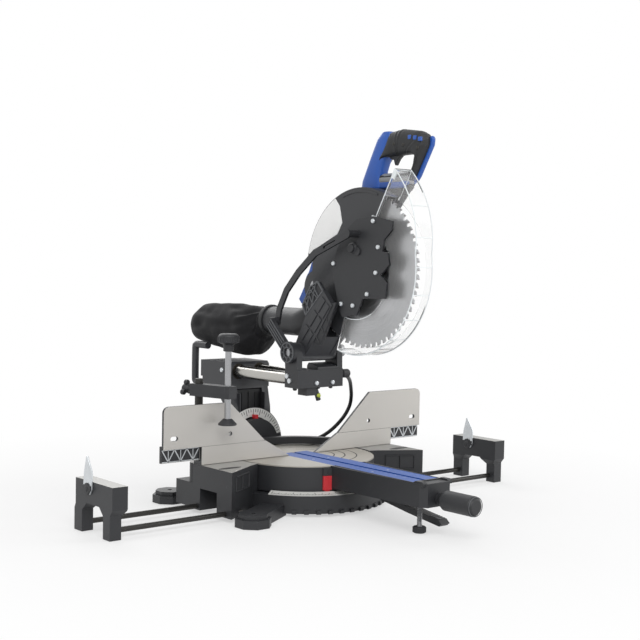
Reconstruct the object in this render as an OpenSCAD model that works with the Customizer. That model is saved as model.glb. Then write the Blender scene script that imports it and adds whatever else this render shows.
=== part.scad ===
// Sliding compound mitre saw on a turntable base, with the head raised.
// Origin on the floor under the turntable's axis. +Z is up, -Y is the operator's side,
// and the fence faces lie in the plane y = 0.

/* [Base and turntable] */
// Height of the table's top above the floor
table_z = 95; // [90:1:100]
// Radius of the turntable
turntable_r = 148; // [140:1:152]
// How far the base's ring, which carries the mitre scale, stands past the turntable
ring_lip = 22; // [20:1:26]
// Height of the base ring's top
ring_top = 40; // [36:1:42]
// Outer edge of each table wing from the centre
wing_x = 250; // [246:1:256]
// Distance of the bench holes from the centre along X
hole_x = 230; // [222:1:236]
// Distance of the bench holes from the centre along Y
hole_y = 141; // [134:1:148]
// Diameter of each bench hole
hole_d = 9; // [7:0.5:11]
// Height of the base's feet
foot_h = 24; // [18:1:28]
// Front end of the turntable's arm, in front of the axis
arm_y = 392; // [380:1:400]
// Half width of the arm at its front end
arm_w = 38; // [35:1:42]
// Width of the slot between the kerf plates
kerf_w = 8; // [6:0.5:10]
// Width of each kerf plate
kerf_plate_w = 32; // [28:1:33]
// Diameter of the lock grip
grip_d = 37; // [30:1:40]
// Length of the lock grip
grip_len = 84; // [70:1:95]

/* [Fence] */
// Outer end of each fixed fence
fence_x = 250; // [240:1:258]
// Height of the fixed fence's top
fence_z = 131; // [127:1:135]
// Thickness of the fence plates
fence_t = 6; // [4:0.5:8]
// Height of the sliding fence's top
tall_z = 213; // [205:1:218]
// Outer end of each sliding fence
tall_x = 337; // [325:1:345]

/* [Work supports] */
// Outer face of each support bracket
support_x = 506; // [490:1:520]
// Thickness of each support bracket
support_t = 31; // [26:1:36]
// Diameter of the support rods
rod_d = 10; // [8:0.5:11]
// How far each support pushes in
support_travel = 160; // [120:5:165]

/* [Bevel arm and rails] */
// Radius of the bevel arm's hub
hub_r = 80; // [74:1:84]
// Front face of the rail housing behind the fence
housing_y = 186; // [182:1:195]
// Length of the rail housing along the rails
housing_len = 100; // [90:1:105]
// Half width of the rail housing
housing_w = 54; // [50:1:58]
// Diameter of the rails
rail_d = 26; // [22:1:28]
// Half the distance between the rails
rail_x = 28; // [26:1:30]
// Height of the rails' centres
rail_z = 252; // [250:1:256]
// How far the head slides back
slide_travel = 198; // [150:1:198]

/* [Head] */
// Distance of the chop hinge in front of the fence
hinge_y = 33; // [31:1:35]
// Height of the chop hinge
hinge_z = 309; // [306:1:312]
// Distance of the blade's centre in front of the fence
blade_y = 177; // [175:1:179]
// Height of the blade's centre, with the head raised
blade_z = 478; // [476:1:480]
// Diameter of the blade
blade_d = 305; // [299:1:306]
// Thickness of the blade
blade_t = 2.4; // [2:0.1:3]
// Number of teeth on the blade
blade_teeth = 60; // [40:4:72]
// Diameter of the blade's bore
bore_d = 30; // [25:0.4:30]
// Diameter of the motor's case
motor_d = 92; // [84:1:96]
// Length of the motor's case
motor_len = 84; // [70:1:90]
// Thickness of the D handle
handle_t = 36; // [32:1:40]

/* [Clamp] */
// Diameter of the clamp's post
post_d = 16; // [14:1:18]
// Diameter of the clamp's screw
screw_d = 12; // [10:1:13]
// Height of the clamp's pad at rest
pad_z = 174; // [165:1:180]
// Room between the tall fence and the clamp's arm
arm_clear = 12; // [10:1:16]

/* [Fits] */
// Radial clearance of a running fit
fit = 0.05; // [0.03:0.01:0.1]
// Gap between faces that pass each other
gap = 0.3; // [0.3:0.05:0.5]

/* [Hidden] */
$fn = 48;
skin = 2.5;
// Named colours
black = "#26282b";
graphite = "#37393c";
steel = "#b9bbbc";
blue = "#2f5fb4";
ring_r = turntable_r + ring_lip;
// Turntable
drum_z = ring_top + 3;
plate_t = 3;
arm_bottom = table_z - 43;
drum_wall = 8;
deck_t = 8;
bow_r = turntable_r - 2;
bow_w = 18;
bow_top = table_z + 17;
dome_y = turntable_r + 4.4;
dome_t = 18;
dome_r = 56;
pivot_r = 12;
boss_top = drum_z - gap;
scale_r = turntable_r + 5;
// Arm of the turntable
grip_z = table_z - 29;
arm_root = -turntable_r + 30;
lever_x = 19;
lever_pin = [-234, arm_bottom - 6];
stud_x = -14;
stud_y = -arm_y + 34;
// Base
floor_z = 6;
rod_z = 14;
rod_ys = [-78, 15];
flag_at = [-22, table_z - 14];
rod_r = rod_d / 2;
support_in = support_x - support_t;
flag_pin = 16;
wing_in = turntable_r + 17;
wing_front = -100;
wing_back = 30;
hump_x0 = wing_x - 50;
hump_x1 = wing_x - 2;
hump_y = 90;
hump_z = 57;
post_x = -231;
post_y = 40;
// Fence
slope_x = 34;
slope_top = 95;
tall_in = 185;
tall_round = 12;
guide_y = fence_t + 1;
guide_t = 7;
// Bevel hub
hub_y = dome_y + dome_t + gap;
hub_t = 28;
shaft_r = 10;
housing_back = housing_y + housing_len;
housing_bottom = rail_z - 36;
housing_top = rail_z + rail_d / 2 + 7;
rail_r = rail_d / 2;
rail_front = -54;
bracket_y = housing_back + 4;
bracket_t = 14;
rail_back = bracket_y + bracket_t;
// Carriage
car_x0 = -62;
car_x1 = 58;
car_front = -56;
car_back = housing_y - slide_travel - 4;
car_bottom = rail_z - 14;
car_top = rail_z + 22;
ear_t = 14;
ear_r = 20;
hinge = [-hinge_y, hinge_z];
pin_r = 8;
barrel_x0 = car_x0 + ear_t + gap;
barrel_x1 = car_x1 - ear_t - gap;
// Head
hub = [-blade_y, blade_z];
blade_r = blade_d / 2;
guard_r = blade_r + 4.5;
guard_x0 = -12;
guard_x1 = 16;
clear_x0 = -22.5;
clear_x1 = 20.5;
carrier_x0 = -27;
carrier_x1 = clear_x0;
link_x0 = -50.5;
link_x1 = -45.5;
back_x0 = 24;
back_x1 = 30;
case_x1 = 56;
case_wall = 4;
case_hub_r = 40;
case_motor_r = 40;
motor_x1 = case_x1 + motor_len;
motor = [hub[0] + 176, hub[1] - 39];
arbor_pulley_r = 24;
motor_pulley_r = 10;
belt_t = 3;
pulley_x0 = 33;
pulley_x1 = 45;
flange_r = 30;
arbor_r = bore_d / 2;
link_pin = [hub[0] - 10, hub[1] + 67];
link_bends = [[22, 394], [0, 432], [-37, 469], [-88, 508]];
link_foot = [28, 366];
pipe_x = 20;
pipe_z = 365;
pipe_r = 29;
pipe_back = 138;
handle_x0 = clear_x1 + 1.5;
handle_x1 = handle_x0 + handle_t;
// Clamp
arm_z0 = tall_z + arm_clear;
arm_z1 = arm_z0 + 24;
knob_z = arm_z1 + 67;
rod_at = [-212, -30];

// Solid between two planes of X, from an outline of [y, z] points
module slab_x(outline, x0, x1)
    translate([x0, 0, 0]) rotate([90, 0, 90]) linear_extrude(x1 - x0) polygon(outline);

// Solid between two planes of Y, from an outline of [x, z] points
module slab_y(outline, y0, y1)
    translate([0, y1, 0]) rotate([90, 0, 0]) linear_extrude(y1 - y0) polygon(outline);

// Solid between two planes of Z, from an outline of [x, y] points
module slab_z(outline, z0, z1)
    translate([0, 0, z0]) linear_extrude(z1 - z0) polygon(outline);

// Round bars along each axis
module bar_x(at, x0, x1, r)
    translate([x0, at[0], at[1]]) rotate([0, 90, 0]) cylinder(h = x1 - x0, r = r);
module bar_y(x, z, y0, y1, r)
    translate([x, y0, z]) rotate([-90, 0, 0]) cylinder(h = y1 - y0, r = r);
module bar_z(at, z0, z1, r)
    translate([at[0], at[1], z0]) cylinder(h = z1 - z0, r = r);

// Box between two corners
module block(low, high)
    translate(low) cube(high - low);

// Flat strip of width w between two [y, z] points, with round ends
module strip_x(p, q, w, x0, x1) {
    side = [-(q - p)[1], (q - p)[0]] / norm(q - p) * w / 2;
    slab_x([p + side, q + side, q - side, p - side], x0, x1);
    bar_x(p, x0, x1, w / 2);
    bar_x(q, x0, x1, w / 2);
}

// Ring turned about the blade's axis: outline of [radius, x] points, from angle a over sweep
module about_hub(outline, a = 0, sweep = 360)
    translate([0, hub[0], hub[1]]) rotate([90, 0, 90]) rotate([0, 0, a])
        rotate_extrude(angle = sweep, $fn = 96) polygon(outline);

// Tube of 8 sides swept along a list of points
function tube_dir(p, i) =
    let (d = p[min(i + 1, len(p) - 1)] - p[max(i - 1, 0)]) d / norm(d);
function tube_ring(p, i, r, sides) =
    let (d = tube_dir(p, i), a = cross(d, [0, 0, 1]), u = a / norm(a), v = cross(u, d))
    [for (k = [0 : sides - 1]) p[i] + r * (cos(360 * k / sides) * u + sin(360 * k / sides) * v)];
module tube(p, r, sides = 8) {
    n = len(p);
    points = [for (i = [0 : n - 1]) each tube_ring(p, i, r, sides)];
    walls = [for (i = [0 : n - 2], k = [0 : sides - 1])
        let (a = i * sides + k, b = i * sides + (k + 1) % sides)
        each [[a, b, b + sides], [a, b + sides, a + sides]]];
    near = [for (k = [1 : sides - 2]) [0, k + 1, k]];
    far = [for (k = [1 : sides - 2]) [(n - 1) * sides, (n - 1) * sides + k, (n - 1) * sides + k + 1]];
    polyhedron(points, concat(walls, near, far));
}

// Point on the head at a radius from the blade's axis, at an angle up from the front
function polar(r, a) = [hub[0] - r * cos(a), hub[1] + r * sin(a)];

// Point on the neck: t along the line from hinge to blade axis, n to its front side
neck_len = norm(hub - hinge);
neck_u = (hub - hinge) / neck_len;
neck_v = [-neck_u[1], neck_u[0]];
function neck(t, n) = hinge + t * neck_u + n * neck_v;
// Point on the drive: t along the line from blade axis to motor axis, n to its upper side
drive_len = norm(motor - hub);
drive_u = (motor - hub) / drive_len;
drive_v = [-drive_u[1], drive_u[0]];
function drive(t, n) = hub + t * drive_u + n * drive_v;

module both_sides() {
    children();
    mirror([1, 0, 0]) children();
}

// BASE AND TABLE

module foot(x, y) {
    way = [-x, -y] / norm([x, y]);
    side = [-way[1], way[0]] * 24;
    near = [x, y];
    far = near + way * (norm(near) - ring_r + 12);
    slab_z([for (a = [22.5 : 45 : 360]) near + 35 * [cos(a), sin(a)]], 0, foot_h - 8);
    slab_z([for (a = [22.5 : 45 : 360]) near + 29 * [cos(a), sin(a)]], 1, foot_h);
    slab_z([near + side, near - side, far - side, far + side], 1, foot_h - 1);
}

module wing() {
    outline = [[100, wing_back], [wing_x, wing_back], [wing_x, wing_front], [wing_in, wing_front / 2], [100, -24]];
    difference() {
        slab_z(outline, floor_z + 1, table_z);
        bar_z([0, 0], ring_top - 5, table_z + 1, turntable_r + 5);
        bar_z([0, 0], 0, ring_top, ring_r - 30);
        block([wing_x - 70, -52, 0], [wing_x + 1, 4, 50]);
    }
    bar_z([-post_x, post_y], floor_z + 2, table_z, post_d / 2 + 8);
    block([hump_x0, wing_back - 1, floor_z + 3], [hump_x1, hump_y, hump_z]);
}

module base()
    color(black) difference() {
        union() {
            difference() {
                bar_z([0, 0], floor_z, ring_top, ring_r);
                bar_z([0, 0], floor_z + 4, ring_top + 1, ring_r - 40);
            }
            bar_z([0, 0], floor_z + 1, boss_top, pivot_r + 18);
            both_sides() wing();
            for (x = [-hole_x, hole_x], y = [-hole_y, hole_y]) foot(x, y);
        }
        bar_z([0, 0], 0, boss_top + 1, pivot_r + fit);
        for (x = [-hole_x, hole_x], y = [-hole_y, hole_y]) bar_z([x, y], -1, foot_h + 1, hole_d / 2);
        for (y = rod_ys) both_sides() bar_x([y, rod_z], pivot_r + 30, wing_x + 31, rod_r + fit);
        for (x = [-post_x, post_x]) bar_z([x, post_y], 30, table_z + 1, post_d / 2 + fit);
    }

module mitre_scale()
    color("white") rotate([0, 0, 208]) rotate_extrude(angle = 124, $fn = 96)
        polygon([[scale_r, ring_top], [scale_r + 14, ring_top], [scale_r + 14, ring_top + 1], [scale_r, ring_top + 1]]);

module fence()
    color(steel) union() {
        both_sides() {
            slab_y([[slope_x, table_z + 1], [fence_x, table_z + 1], [fence_x, fence_z], [slope_top, fence_z]], 0, fence_t);
            block([turntable_r + 8, 1, table_z], [fence_x - 1, 28, table_z + 8]);
        }
        rotate([0, 0, 1.5]) rotate_extrude(angle = 177, $fn = 96)
            polygon([[bow_r - bow_w, table_z + 2], [bow_r, table_z + 2], [bow_r, bow_top], [bow_r - bow_w, bow_top]]);
    }

module tall_fence() {
    guide_x = bow_r + 8;
    low = fence_z + gap;
    rib_z0 = table_z + 10;
    difference() {
        union() {
            slab_y(concat([[slope_top + 2, low], [tall_x, low]],
                [for (a = [0 : 15 : 90]) [tall_x - tall_round, tall_z - tall_round] + tall_round * [cos(a), sin(a)]],
                [[tall_in, tall_z]]), 0, fence_t);
            block([guide_x, 0, low], [tall_x, guide_y + guide_t, low + 6]);
            block([guide_x, guide_y, rib_z0], [tall_x, guide_y + guide_t, low + 3]);
        }
        for (x = [tall_x - 28, tall_x - 20, tall_in - 2]) bar_y(x, low + 20, -1, fence_t + 1, 4.5);
        block([tall_x - 28, -1, low + 15.6], [tall_x - 20, fence_t + 1, low + 24.4]);
        rib_w = (tall_x - fence_x - 12) / 3;
        for (i = [0 : 2]) translate([fence_x + 8 + i * rib_w, 0, 0]) {
            slab_y([[0, rib_z0 + 3], [rib_w - 4, rib_z0 + 3], [(rib_w - 4) / 2, low - 4]], guide_y - 1, guide_y + guide_t + 1);
        }
    }
}

module left_sliding_fence() color(steel) mirror([1, 0, 0]) tall_fence();
module right_sliding_fence() color(steel) tall_fence();

// TURNTABLE

module turntable()
    color(black) difference() {
        union() {
            difference() {
                bar_z([0, 0], drum_z, table_z - plate_t, turntable_r);
                bar_z([0, 0], drum_z - 1, table_z - plate_t - deck_t, turntable_r - drum_wall);
            }
            bar_z([0, 0], drum_z, table_z - plate_t - 1, pivot_r + 22);
            slab_z([[-arm_w - 6, arm_root], [-arm_w - 6, -turntable_r - 40], [-arm_w, -arm_y + 12], [-arm_w + 10, -arm_y],
                [arm_w - 10, -arm_y], [arm_w, -arm_y + 12], [arm_w + 6, -turntable_r - 40], [arm_w + 6, arm_root]], arm_bottom, table_z);
            block([-48, turntable_r - 16, drum_z + 3], [48, dome_y + dome_t, table_z - 4]);
            difference() {
                bar_y(0, table_z, dome_y, dome_y + dome_t, dome_r);
                block([-dome_r, dome_y - 1, 0], [dome_r, dome_y + dome_t + 1, drum_z + 3]);
            }
        }
        // seat of the steel top over the drum
        bar_z([0, 0], table_z - plate_t, table_z + 1, turntable_r + 0.02);
        // recess of the kerf plates and the blade's slot below them
        block([-kerf_w / 2 - kerf_plate_w, -arm_y + 12, table_z - 4], [kerf_w / 2 + kerf_plate_w, 30, table_z + 1]);
        block([-kerf_w / 2 - 8, -arm_y + 30, table_z - 24], [kerf_w / 2 + 8, 26, table_z + 1]);
        // hollow underside of the arm
        block([-28, -arm_y + 56, arm_bottom - 1], [28, -turntable_r - 12, table_z - 28]);
        bar_z([0, 0], drum_z - 1, table_z - 26, pivot_r + 0.02);
        bar_y(0, table_z, dome_y - 1, dome_y + dome_t + 1, shaft_r + 0.02);
        bar_y(0, grip_z, -arm_y - 1, -arm_y + 15, 6 + fit);
        bar_z([stud_x, stud_y], arm_bottom - 30, table_z - 6, 5 + fit);
    }

module turntable_top()
    color(steel) difference() {
        bar_z([0, 0], table_z - plate_t, table_z, turntable_r - 1);
        block([-kerf_w / 2 - kerf_plate_w - 0.1, -turntable_r - 1, table_z - plate_t - 1], [kerf_w / 2 + kerf_plate_w + 0.1, 30.1, table_z + 1]);
    }

module kerf_plates()
    color(blue) both_sides() difference() {
        block([kerf_w / 2, -arm_y + 12, table_z - 4], [kerf_w / 2 + kerf_plate_w, 30, table_z]);
        for (y = kerf_screw_ys) bar_z([kerf_w / 2 + kerf_plate_w / 2, y], table_z - 2, table_z + 1, 3.5);
    }
kerf_screw_ys = [-arm_y + 26, -arm_y / 2 - 40, -60];

module kerf_screws()
    color(steel) both_sides() for (y = kerf_screw_ys)
        bar_z([kerf_w / 2 + kerf_plate_w / 2, y], table_z - 2, table_z - 0.4, 3.3);

module pivot_pin()
    color(steel) bar_z([0, 0], floor_z + 2, table_z - 27, pivot_r);

module pointers()
    color("red") {
        rotate([0, 0, -20]) block([-5, -turntable_r - 3, drum_z + 1], [5, -turntable_r, drum_z + 26]);
        block([-4, dome_y + 4, table_z + dome_r], [4, dome_y + dome_t - 3, table_z + dome_r + 8]);
    }

module lock_grip()
    color(black) {
        bar_y(0, grip_z, -arm_y - 6, -arm_y + 14, 6);
        bar_y(0, grip_z, -arm_y - 8, -arm_y - gap, 11);
        translate([0, -arm_y - 8, grip_z]) rotate([90, 0, 0]) rotate_extrude()
            polygon([[0, 0], [12, 0], [grip_d / 2, 12], [grip_d / 2, grip_len - 6], [grip_d / 2 - 6, grip_len], [0, grip_len]]);
    }

module detent_lever()
    color(black) difference() {
        slab_x([[-224, arm_bottom - gap], lever_pin + [0, 6 - gap], [-252, arm_bottom - 4], [-300, 37], [-384, 25],
            [-392, 18], [-386, 13], [-300, 25], [-224, 38]], lever_x - 11, lever_x + 11);
        bar_x(lever_pin, lever_x - 12, lever_x + 12, 2.5);
    }

module levelling_stud()
    color(graphite) {
        bar_z([stud_x, stud_y], 10, table_z - 34, 5);
        translate([stud_x, stud_y, 0]) cylinder(h = 12, r = 12, $fn = 12);
    }

// WORK SUPPORTS

module support(flag_x)
    difference() {
        slab_x([[-96, 0], [-72, 0], [-72, 40], [-58, 54], [-14, 54], [2, 40], [2, 0], [30, 0], [30, 40], [26, 48],
            [26, table_z], [-104, table_z], [-104, 54], [-96, 44]], support_in, support_x);
        // the legs are thinner than the top, on the saw's side
        slab_y([[support_in - 1, -1], [support_in + 8, -1], [support_in + 8, 40], [support_in - 1, 52]], -110, 40);
        for (y = rod_ys) bar_x([y, rod_z], support_in - 1, support_x - 8, rod_r + 0.02);
        bar_x(flag_at, flag_x - flag_pin, flag_x + flag_pin, 3 + fit);
    }
module support_rods()
    for (y = rod_ys) bar_x([y, rod_z], wing_x - 40, support_x - 8, rod_r);
// Stop flag on a bracket's face at x, standing off it in the direction way
module stop_flag(x, way) {
    y = flag_at[0];
    near = x + way * gap;
    far = near + way * 3;
    slab_x([[y - 15, table_z - 12], [y - 9, table_z - 23], [y + 9, table_z - 23], [y + 15, table_z - 12], [y + 13, table_z + 14],
        [y + 5, table_z + 44], [y + 1, table_z + 44], [y - 15, table_z + 18]], min(near, far), max(near, far));
    bar_x(flag_at, min(far - way, x - way * flag_pin + way * 2), max(far - way, x - way * flag_pin + way * 2), 3);
}
module left_support() color(black) mirror([1, 0, 0]) support(support_x);
module right_support() color(black) support(support_in);
module left_support_rods() color(graphite) mirror([1, 0, 0]) support_rods();
module right_support_rods() color(graphite) support_rods();
module left_stop_flag() color(steel) mirror([1, 0, 0]) stop_flag(support_x, 1);
module right_stop_flag() color(steel) stop_flag(support_in, -1);

// CLAMP

clamp_way = rod_at - [post_x, post_y];
clamp_turn = atan2(clamp_way[1], clamp_way[0]);
clamp_reach = norm(clamp_way);
clamp_mid = (arm_z0 + arm_z1) / 2;
module at_post() translate([post_x, post_y, 0]) rotate([0, 0, clamp_turn]) children();

module clamp_post()
    color(graphite) bar_z([post_x, post_y], 32, arm_z1 + 10, post_d / 2);
module clamp_arm()
    color(black) difference() {
        at_post() block([-14, -12, arm_z0], [clamp_reach + 12, 12, arm_z1]);
        bar_z([post_x, post_y], arm_z0 - 1, arm_z1 + 1, post_d / 2 + 0.02);
        bar_z(rod_at, arm_z0 - 1, arm_z1 + 1, screw_d / 2 + fit);
        at_post() translate([-15, 0, clamp_mid]) rotate([0, 90, 0]) cylinder(h = 6.5, r = 4 + fit);
    }
module clamp_wing_knob()
    color(black) at_post() translate([0, 0, clamp_mid]) {
        translate([-30, 0, 0]) rotate([0, 90, 0]) cylinder(h = 16 - gap, r = 7);
        translate([-20, 0, 0]) rotate([0, 90, 0]) cylinder(h = 11, r = 4);
        block([-36, -3, -18], [-26, 3, 18]);
    }
module clamp_screw()
    color(steel) {
        bar_z(rod_at, pad_z + 8, knob_z + 12, screw_d / 2);
    }
module clamp_knob()
    color(black) difference() {
        translate([rod_at[0], rod_at[1], knob_z]) rotate_extrude()
            polygon([[0, 0], [10, 0], [10, 13], [20, 17], [20, 30], [16, 34], [0, 34]]);
        bar_z(rod_at, knob_z - 1, knob_z + 12, screw_d / 2 + 0.02);
    }
module clamp_pad()
    color(black) difference() {
        translate([rod_at[0], rod_at[1], pad_z]) rotate_extrude()
            polygon([[0, 0], [18, 0], [18, 3], [9, 12], [0, 12]]);
        bar_z(rod_at, pad_z + 8, pad_z + 13, screw_d / 2 + 0.02);
    }

// BEVEL ARM AND RAILS

module bevel_shaft()
    color(steel) bar_y(0, table_z, dome_y + 3, hub_y + hub_t + 16, shaft_r);

module bevel_lever()
    color(black) difference() {
        union() {
            bar_y(0, table_z, hub_y + hub_t + gap, hub_y + hub_t + 13, 17);
            block([0, hub_y + hub_t + 3, table_z - 7], [60, hub_y + hub_t + 11, table_z + 7]);
        }
        bar_y(0, table_z, hub_y, hub_y + hub_t + 20, shaft_r + fit);
    }

module bevel_arm() {
    back = hub_y + hub_t;
    color(graphite) difference() {
        union() {
            difference() {
                bar_y(0, table_z, hub_y, back, hub_r);
                block([-hub_r, hub_y - 1, 0], [hub_r, back + 1, 42]);
            }
            slab_x([[hub_y, table_z + 30], [back, table_z + 30], [back, table_z + 72], [housing_back - 40, housing_bottom],
                [housing_back - 30, housing_bottom + 4], [housing_y, housing_bottom + 4], [hub_y + 4, table_z + 80]], -50, 50);
            slab_x([[housing_y, housing_bottom], [housing_back - 12, housing_bottom], [housing_back, housing_bottom + 12],
                [housing_back, housing_top - 10], [housing_back - 10, housing_top], [housing_y + 6, housing_top],
                [housing_y, housing_top - 6]], -housing_w, housing_w);
        }
        block([-33, hub_y - 1, table_z + 48], [33, hub_y + 22, housing_bottom - 2]);
        for (x = [-rail_x, rail_x]) bar_y(x, rail_z, housing_y - 1, housing_back + 1, rail_r + 4);
        bar_y(0, table_z, hub_y - 1, back + 1, shaft_r + fit);
    }
}

module bevel_scale()
    color("white") translate([0, hub_y - 1.4, table_z]) rotate([-90, 0, 0]) rotate([0, 0, -165])
        rotate_extrude(angle = 150, $fn = 96) polygon([[dome_r + 3, 0], [hub_r - 2, 0], [hub_r - 2, 1.4], [dome_r + 3, 1.4]]);

module rail_bushes()
    color("tan") for (x = [-rail_x, rail_x], y = [housing_y + 2, housing_back - 28]) difference() {
        bar_y(x, rail_z, y, y + 26, rail_r + 4);
        bar_y(x, rail_z, y - 1, y + 27, rail_r + fit);
    }

module rails()
    color(steel) for (x = [-rail_x, rail_x]) difference() {
        bar_y(x, rail_z, rail_front, rail_back, rail_r);
        bar_y(x, rail_z, rail_front - 1, rail_back + 1, rail_r - 3);
    }

module rear_bracket()
    color(graphite) difference() {
        union() {
            block([-46, bracket_y, rail_z - 18], [46, rail_back, rail_z + 18]);
            hook = rail_back - 14;
            slab_x([[hook, rail_z], [hook, 212], [hook + 3, 209], [350, 209], [357, 216], [357, 302], [350, 309],
                [rail_back - 4, 309], [rail_back - 4, 293], [336, 293], [341, 288], [341, 231], [336, 226],
                [rail_back, 226], [rail_back, rail_z]], -38, -22);
        }
        for (x = [-rail_x, rail_x]) bar_y(x, rail_z, bracket_y - 1, rail_back + 1, rail_r + 0.02);
    }

// CARRIAGE

module ear(x0)
    difference() {
        union() {
            slab_x([[car_front + 2, car_top - 1], [car_back - 1, car_top - 1], hinge + [ear_r, 0], hinge - [ear_r, 0]], x0, x0 + ear_t);
            bar_x(hinge, x0, x0 + ear_t, ear_r);
        }
        bar_x(hinge, x0 - 1, x0 + ear_t + 1, pin_r + 0.02);
    }
lock_at = [-42, rail_z + 10];
gland_at = [-24, rail_z + 4];
module carriage()
    color(black) union() {
        difference() {
            block([car_x0, car_front, car_bottom], [car_x1, car_back, car_top]);
            for (x = [-rail_x, rail_x]) bar_y(x, rail_z, rail_front - 0.02, car_back + 1, rail_r + 0.02);
            bar_x(lock_at, car_x1 - 13, car_x1 + 1, 4 + fit);
            for (i = rail_screw_at) bar_x(i, car_x0 - 1, car_x0 + 4, 3.02);
        }
        ear(car_x0);
        ear(car_x1 - ear_t);
    }
rail_screw_at = [[car_back - 8, rail_z + 9], [car_back - 16, rail_z]];
module rail_screws()
    color("white") for (i = rail_screw_at) {
        bar_x(i, car_x0, car_x0 + 4, 3);
        bar_x(i, car_x0 - 2.5, car_x0, 5);
    }
module hinge_pin()
    color(steel) {
        bar_x(hinge, car_x0 - 6, car_x1 + 4, pin_r);
        bar_x(hinge, car_x1, car_x1 + 15, 13);
    }
module link_bracket()
    color(black) difference() {
        union() {
            strip_x(hinge, link_foot, 22, car_x0 - 8, car_x0);
            bar_x(hinge, car_x0 - 8, car_x0, 22);
            bar_x(link_foot, car_x0 - 8, link_x0 - gap, 11);
        }
        bar_x(link_foot, car_x0 - 6, link_x0 + 1, 5 + fit);
        bar_x(hinge, car_x0 - 9, car_x0 + 1, pin_r + 0.02);
    }
module lock_pin()
    color(black) {
        bar_x(lock_at, car_x1 - 12, car_x1 + 3, 4);
        translate([car_x1 + gap, lock_at[0], lock_at[1]]) rotate([0, 90, 0]) rotate_extrude()
            polygon([[0, 0], [6, 0], [6, 6], [9, 9], [9, 24], [7, 27], [0, 27]]);
    }
module laser_unit()
    color(black) {
        block([-34, car_front + 4, car_bottom - 16], [-8, car_back - 8, car_bottom]);
        translate([-6, car_front + 10, car_bottom - 4]) rotate([0, 160, 0]) cylinder(h = 24, r = 5);
    }
module cable_gland()
    color(black) translate([car_x1, gland_at[0], gland_at[1]]) rotate([0, 90, 0])
        rotate_extrude() polygon([[0, 0], [7, 0], [7, 4], [5, 12], [0, 12]]);

cable_points = [[car_x1 + 12, -24, 256], [84, -24, 256], [102, -16, 253], [124, 2, 247], [147, 22, 236],
    [166, 40, 219], [178, 52, 199], [181, 60, 178], [174, 67, 157], [161, 76, 137], [146, 88, 119],
    [132, 105, 105], [121, 127, 96], [111, 150, 92], [100, 170, 93], [89, 181, 95], [hub_r + 0.1, 183, 95]];
module head_cable() color(black) tube(cable_points, 4);

// HEAD

module drive_outline(hub_radius, motor_radius, x0, x1) {
    bar_x(hub, x0, x1, hub_radius);
    bar_x(motor, x0, x1, motor_radius);
    slab_x([drive(0, hub_radius - 1), drive(drive_len, motor_radius - 1), drive(drive_len, 1 - motor_radius),
        drive(0, 1 - hub_radius)], x0, x1);
}

module head_arm()
    color(graphite) difference() {
        union() {
            bar_x(hinge, barrel_x0, barrel_x1, 19);
            slab_x([neck(0, 18), neck(58, 18), neck(58, -22), neck(0, -19)], -40, 36);
            slab_x([neck(0, 18), neck(60, 18), neck(138, 12), neck(142, -28), neck(70, -34), neck(0, -19)], -40, -28.5);
            slab_x([neck(0, 18), neck(neck_len - 30, 26), neck(neck_len - 30, -30), neck(60, -30), neck(0, -19)], back_x0, 36);
            drive_outline(case_hub_r - 6, case_motor_r - 7, back_x0, back_x1);
            bar_x(hub, back_x0, back_x1, 62);
            bar_x(polar(130, 221), -40, guard_x0, 9);
            for (a = [90, 165, 235]) bar_x(polar(54, a), guard_x1, back_x1, 6);
        }
        bar_x(hinge, barrel_x0 - 1, barrel_x1 + 1, pin_r + fit);
        bar_x(hub, back_x0 - 1, 40, 18);
        bar_x(motor, back_x0 - 1, 40, 14);
        drive_outline(case_hub_r + gap, case_motor_r + gap, back_x1, 40);
    }

module belt_case()
    color(blue) difference() {
        union() {
            drive_outline(case_hub_r, case_motor_r, back_x1, case_x1);
            slab_x([motor + [-40, 42], motor + [20, 51], motor + [41, 3], motor + [60, -27], motor + [51, -36], motor + [0, -36]], back_x1 + 2, case_x1 - 2);
        }
        drive_outline(case_hub_r - case_wall, case_motor_r - case_wall, back_x1 - 1, case_x1 - case_wall);
        bar_x(motor, case_x1 - case_wall - 1, case_x1 + 1, 14);
        bar_x(hub, case_x1 - case_wall - 1, case_x1 + 1, 18);
    }

module bearings()
    color(steel) {
        for (x = [back_x0, case_x1 - case_wall]) difference() {
            bar_x(hub, x, x + (x < 40 ? 6 : case_wall), 18);
            bar_x(hub, x - 1, x + 7, 10 + fit);
        }
        for (x = [back_x0, case_x1 - case_wall]) difference() {
            bar_x(motor, x, x + (x < 40 ? 6 : case_wall), 14);
            bar_x(motor, x - 1, x + 7, 6 + fit);
        }
    }

module motor_case()
    color(black) difference() {
        bar_x(motor, case_x1, motor_x1, motor_d / 2);
        bar_x(motor, case_x1 - 1, motor_x1 - 4, motor_d / 2 - 4);
        for (a = [0 : 30 : 330]) translate([0, motor[0], motor[1]]) rotate([a, 0, 0])
            block([motor_x1 - 22, -3, motor_d / 2 - 8], [motor_x1 - 8, 3, motor_d / 2 + 1]);
    }
module motor_stator()
    color("saddlebrown") difference() {
        bar_x(motor, case_x1 + 20, motor_x1 - 24, motor_d / 2 - 4);
        bar_x(motor, case_x1 + 19, motor_x1 - 23, 30);
    }
module motor_armature()
    color(steel) {
        bar_x(motor, back_x0, motor_x1 - 5, 6);
        bar_x(motor, pulley_x0, pulley_x1, motor_pulley_r);
        bar_x(motor, case_x1 + 22, motor_x1 - 26, 28);
        bar_x(motor, case_x1 + 4, case_x1 + 14, 38);
    }
module drive_belt()
    color(black) translate([pulley_x0 + 1, 0, 0]) rotate([90, 0, 90]) linear_extrude(pulley_x1 - pulley_x0 - 2) difference() {
        hull() {
            translate(hub) circle(arbor_pulley_r + belt_t);
            translate(motor) circle(motor_pulley_r + belt_t);
        }
        hull() {
            translate(hub) circle(arbor_pulley_r + gap);
            translate(motor) circle(motor_pulley_r + gap);
        }
    }

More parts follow.
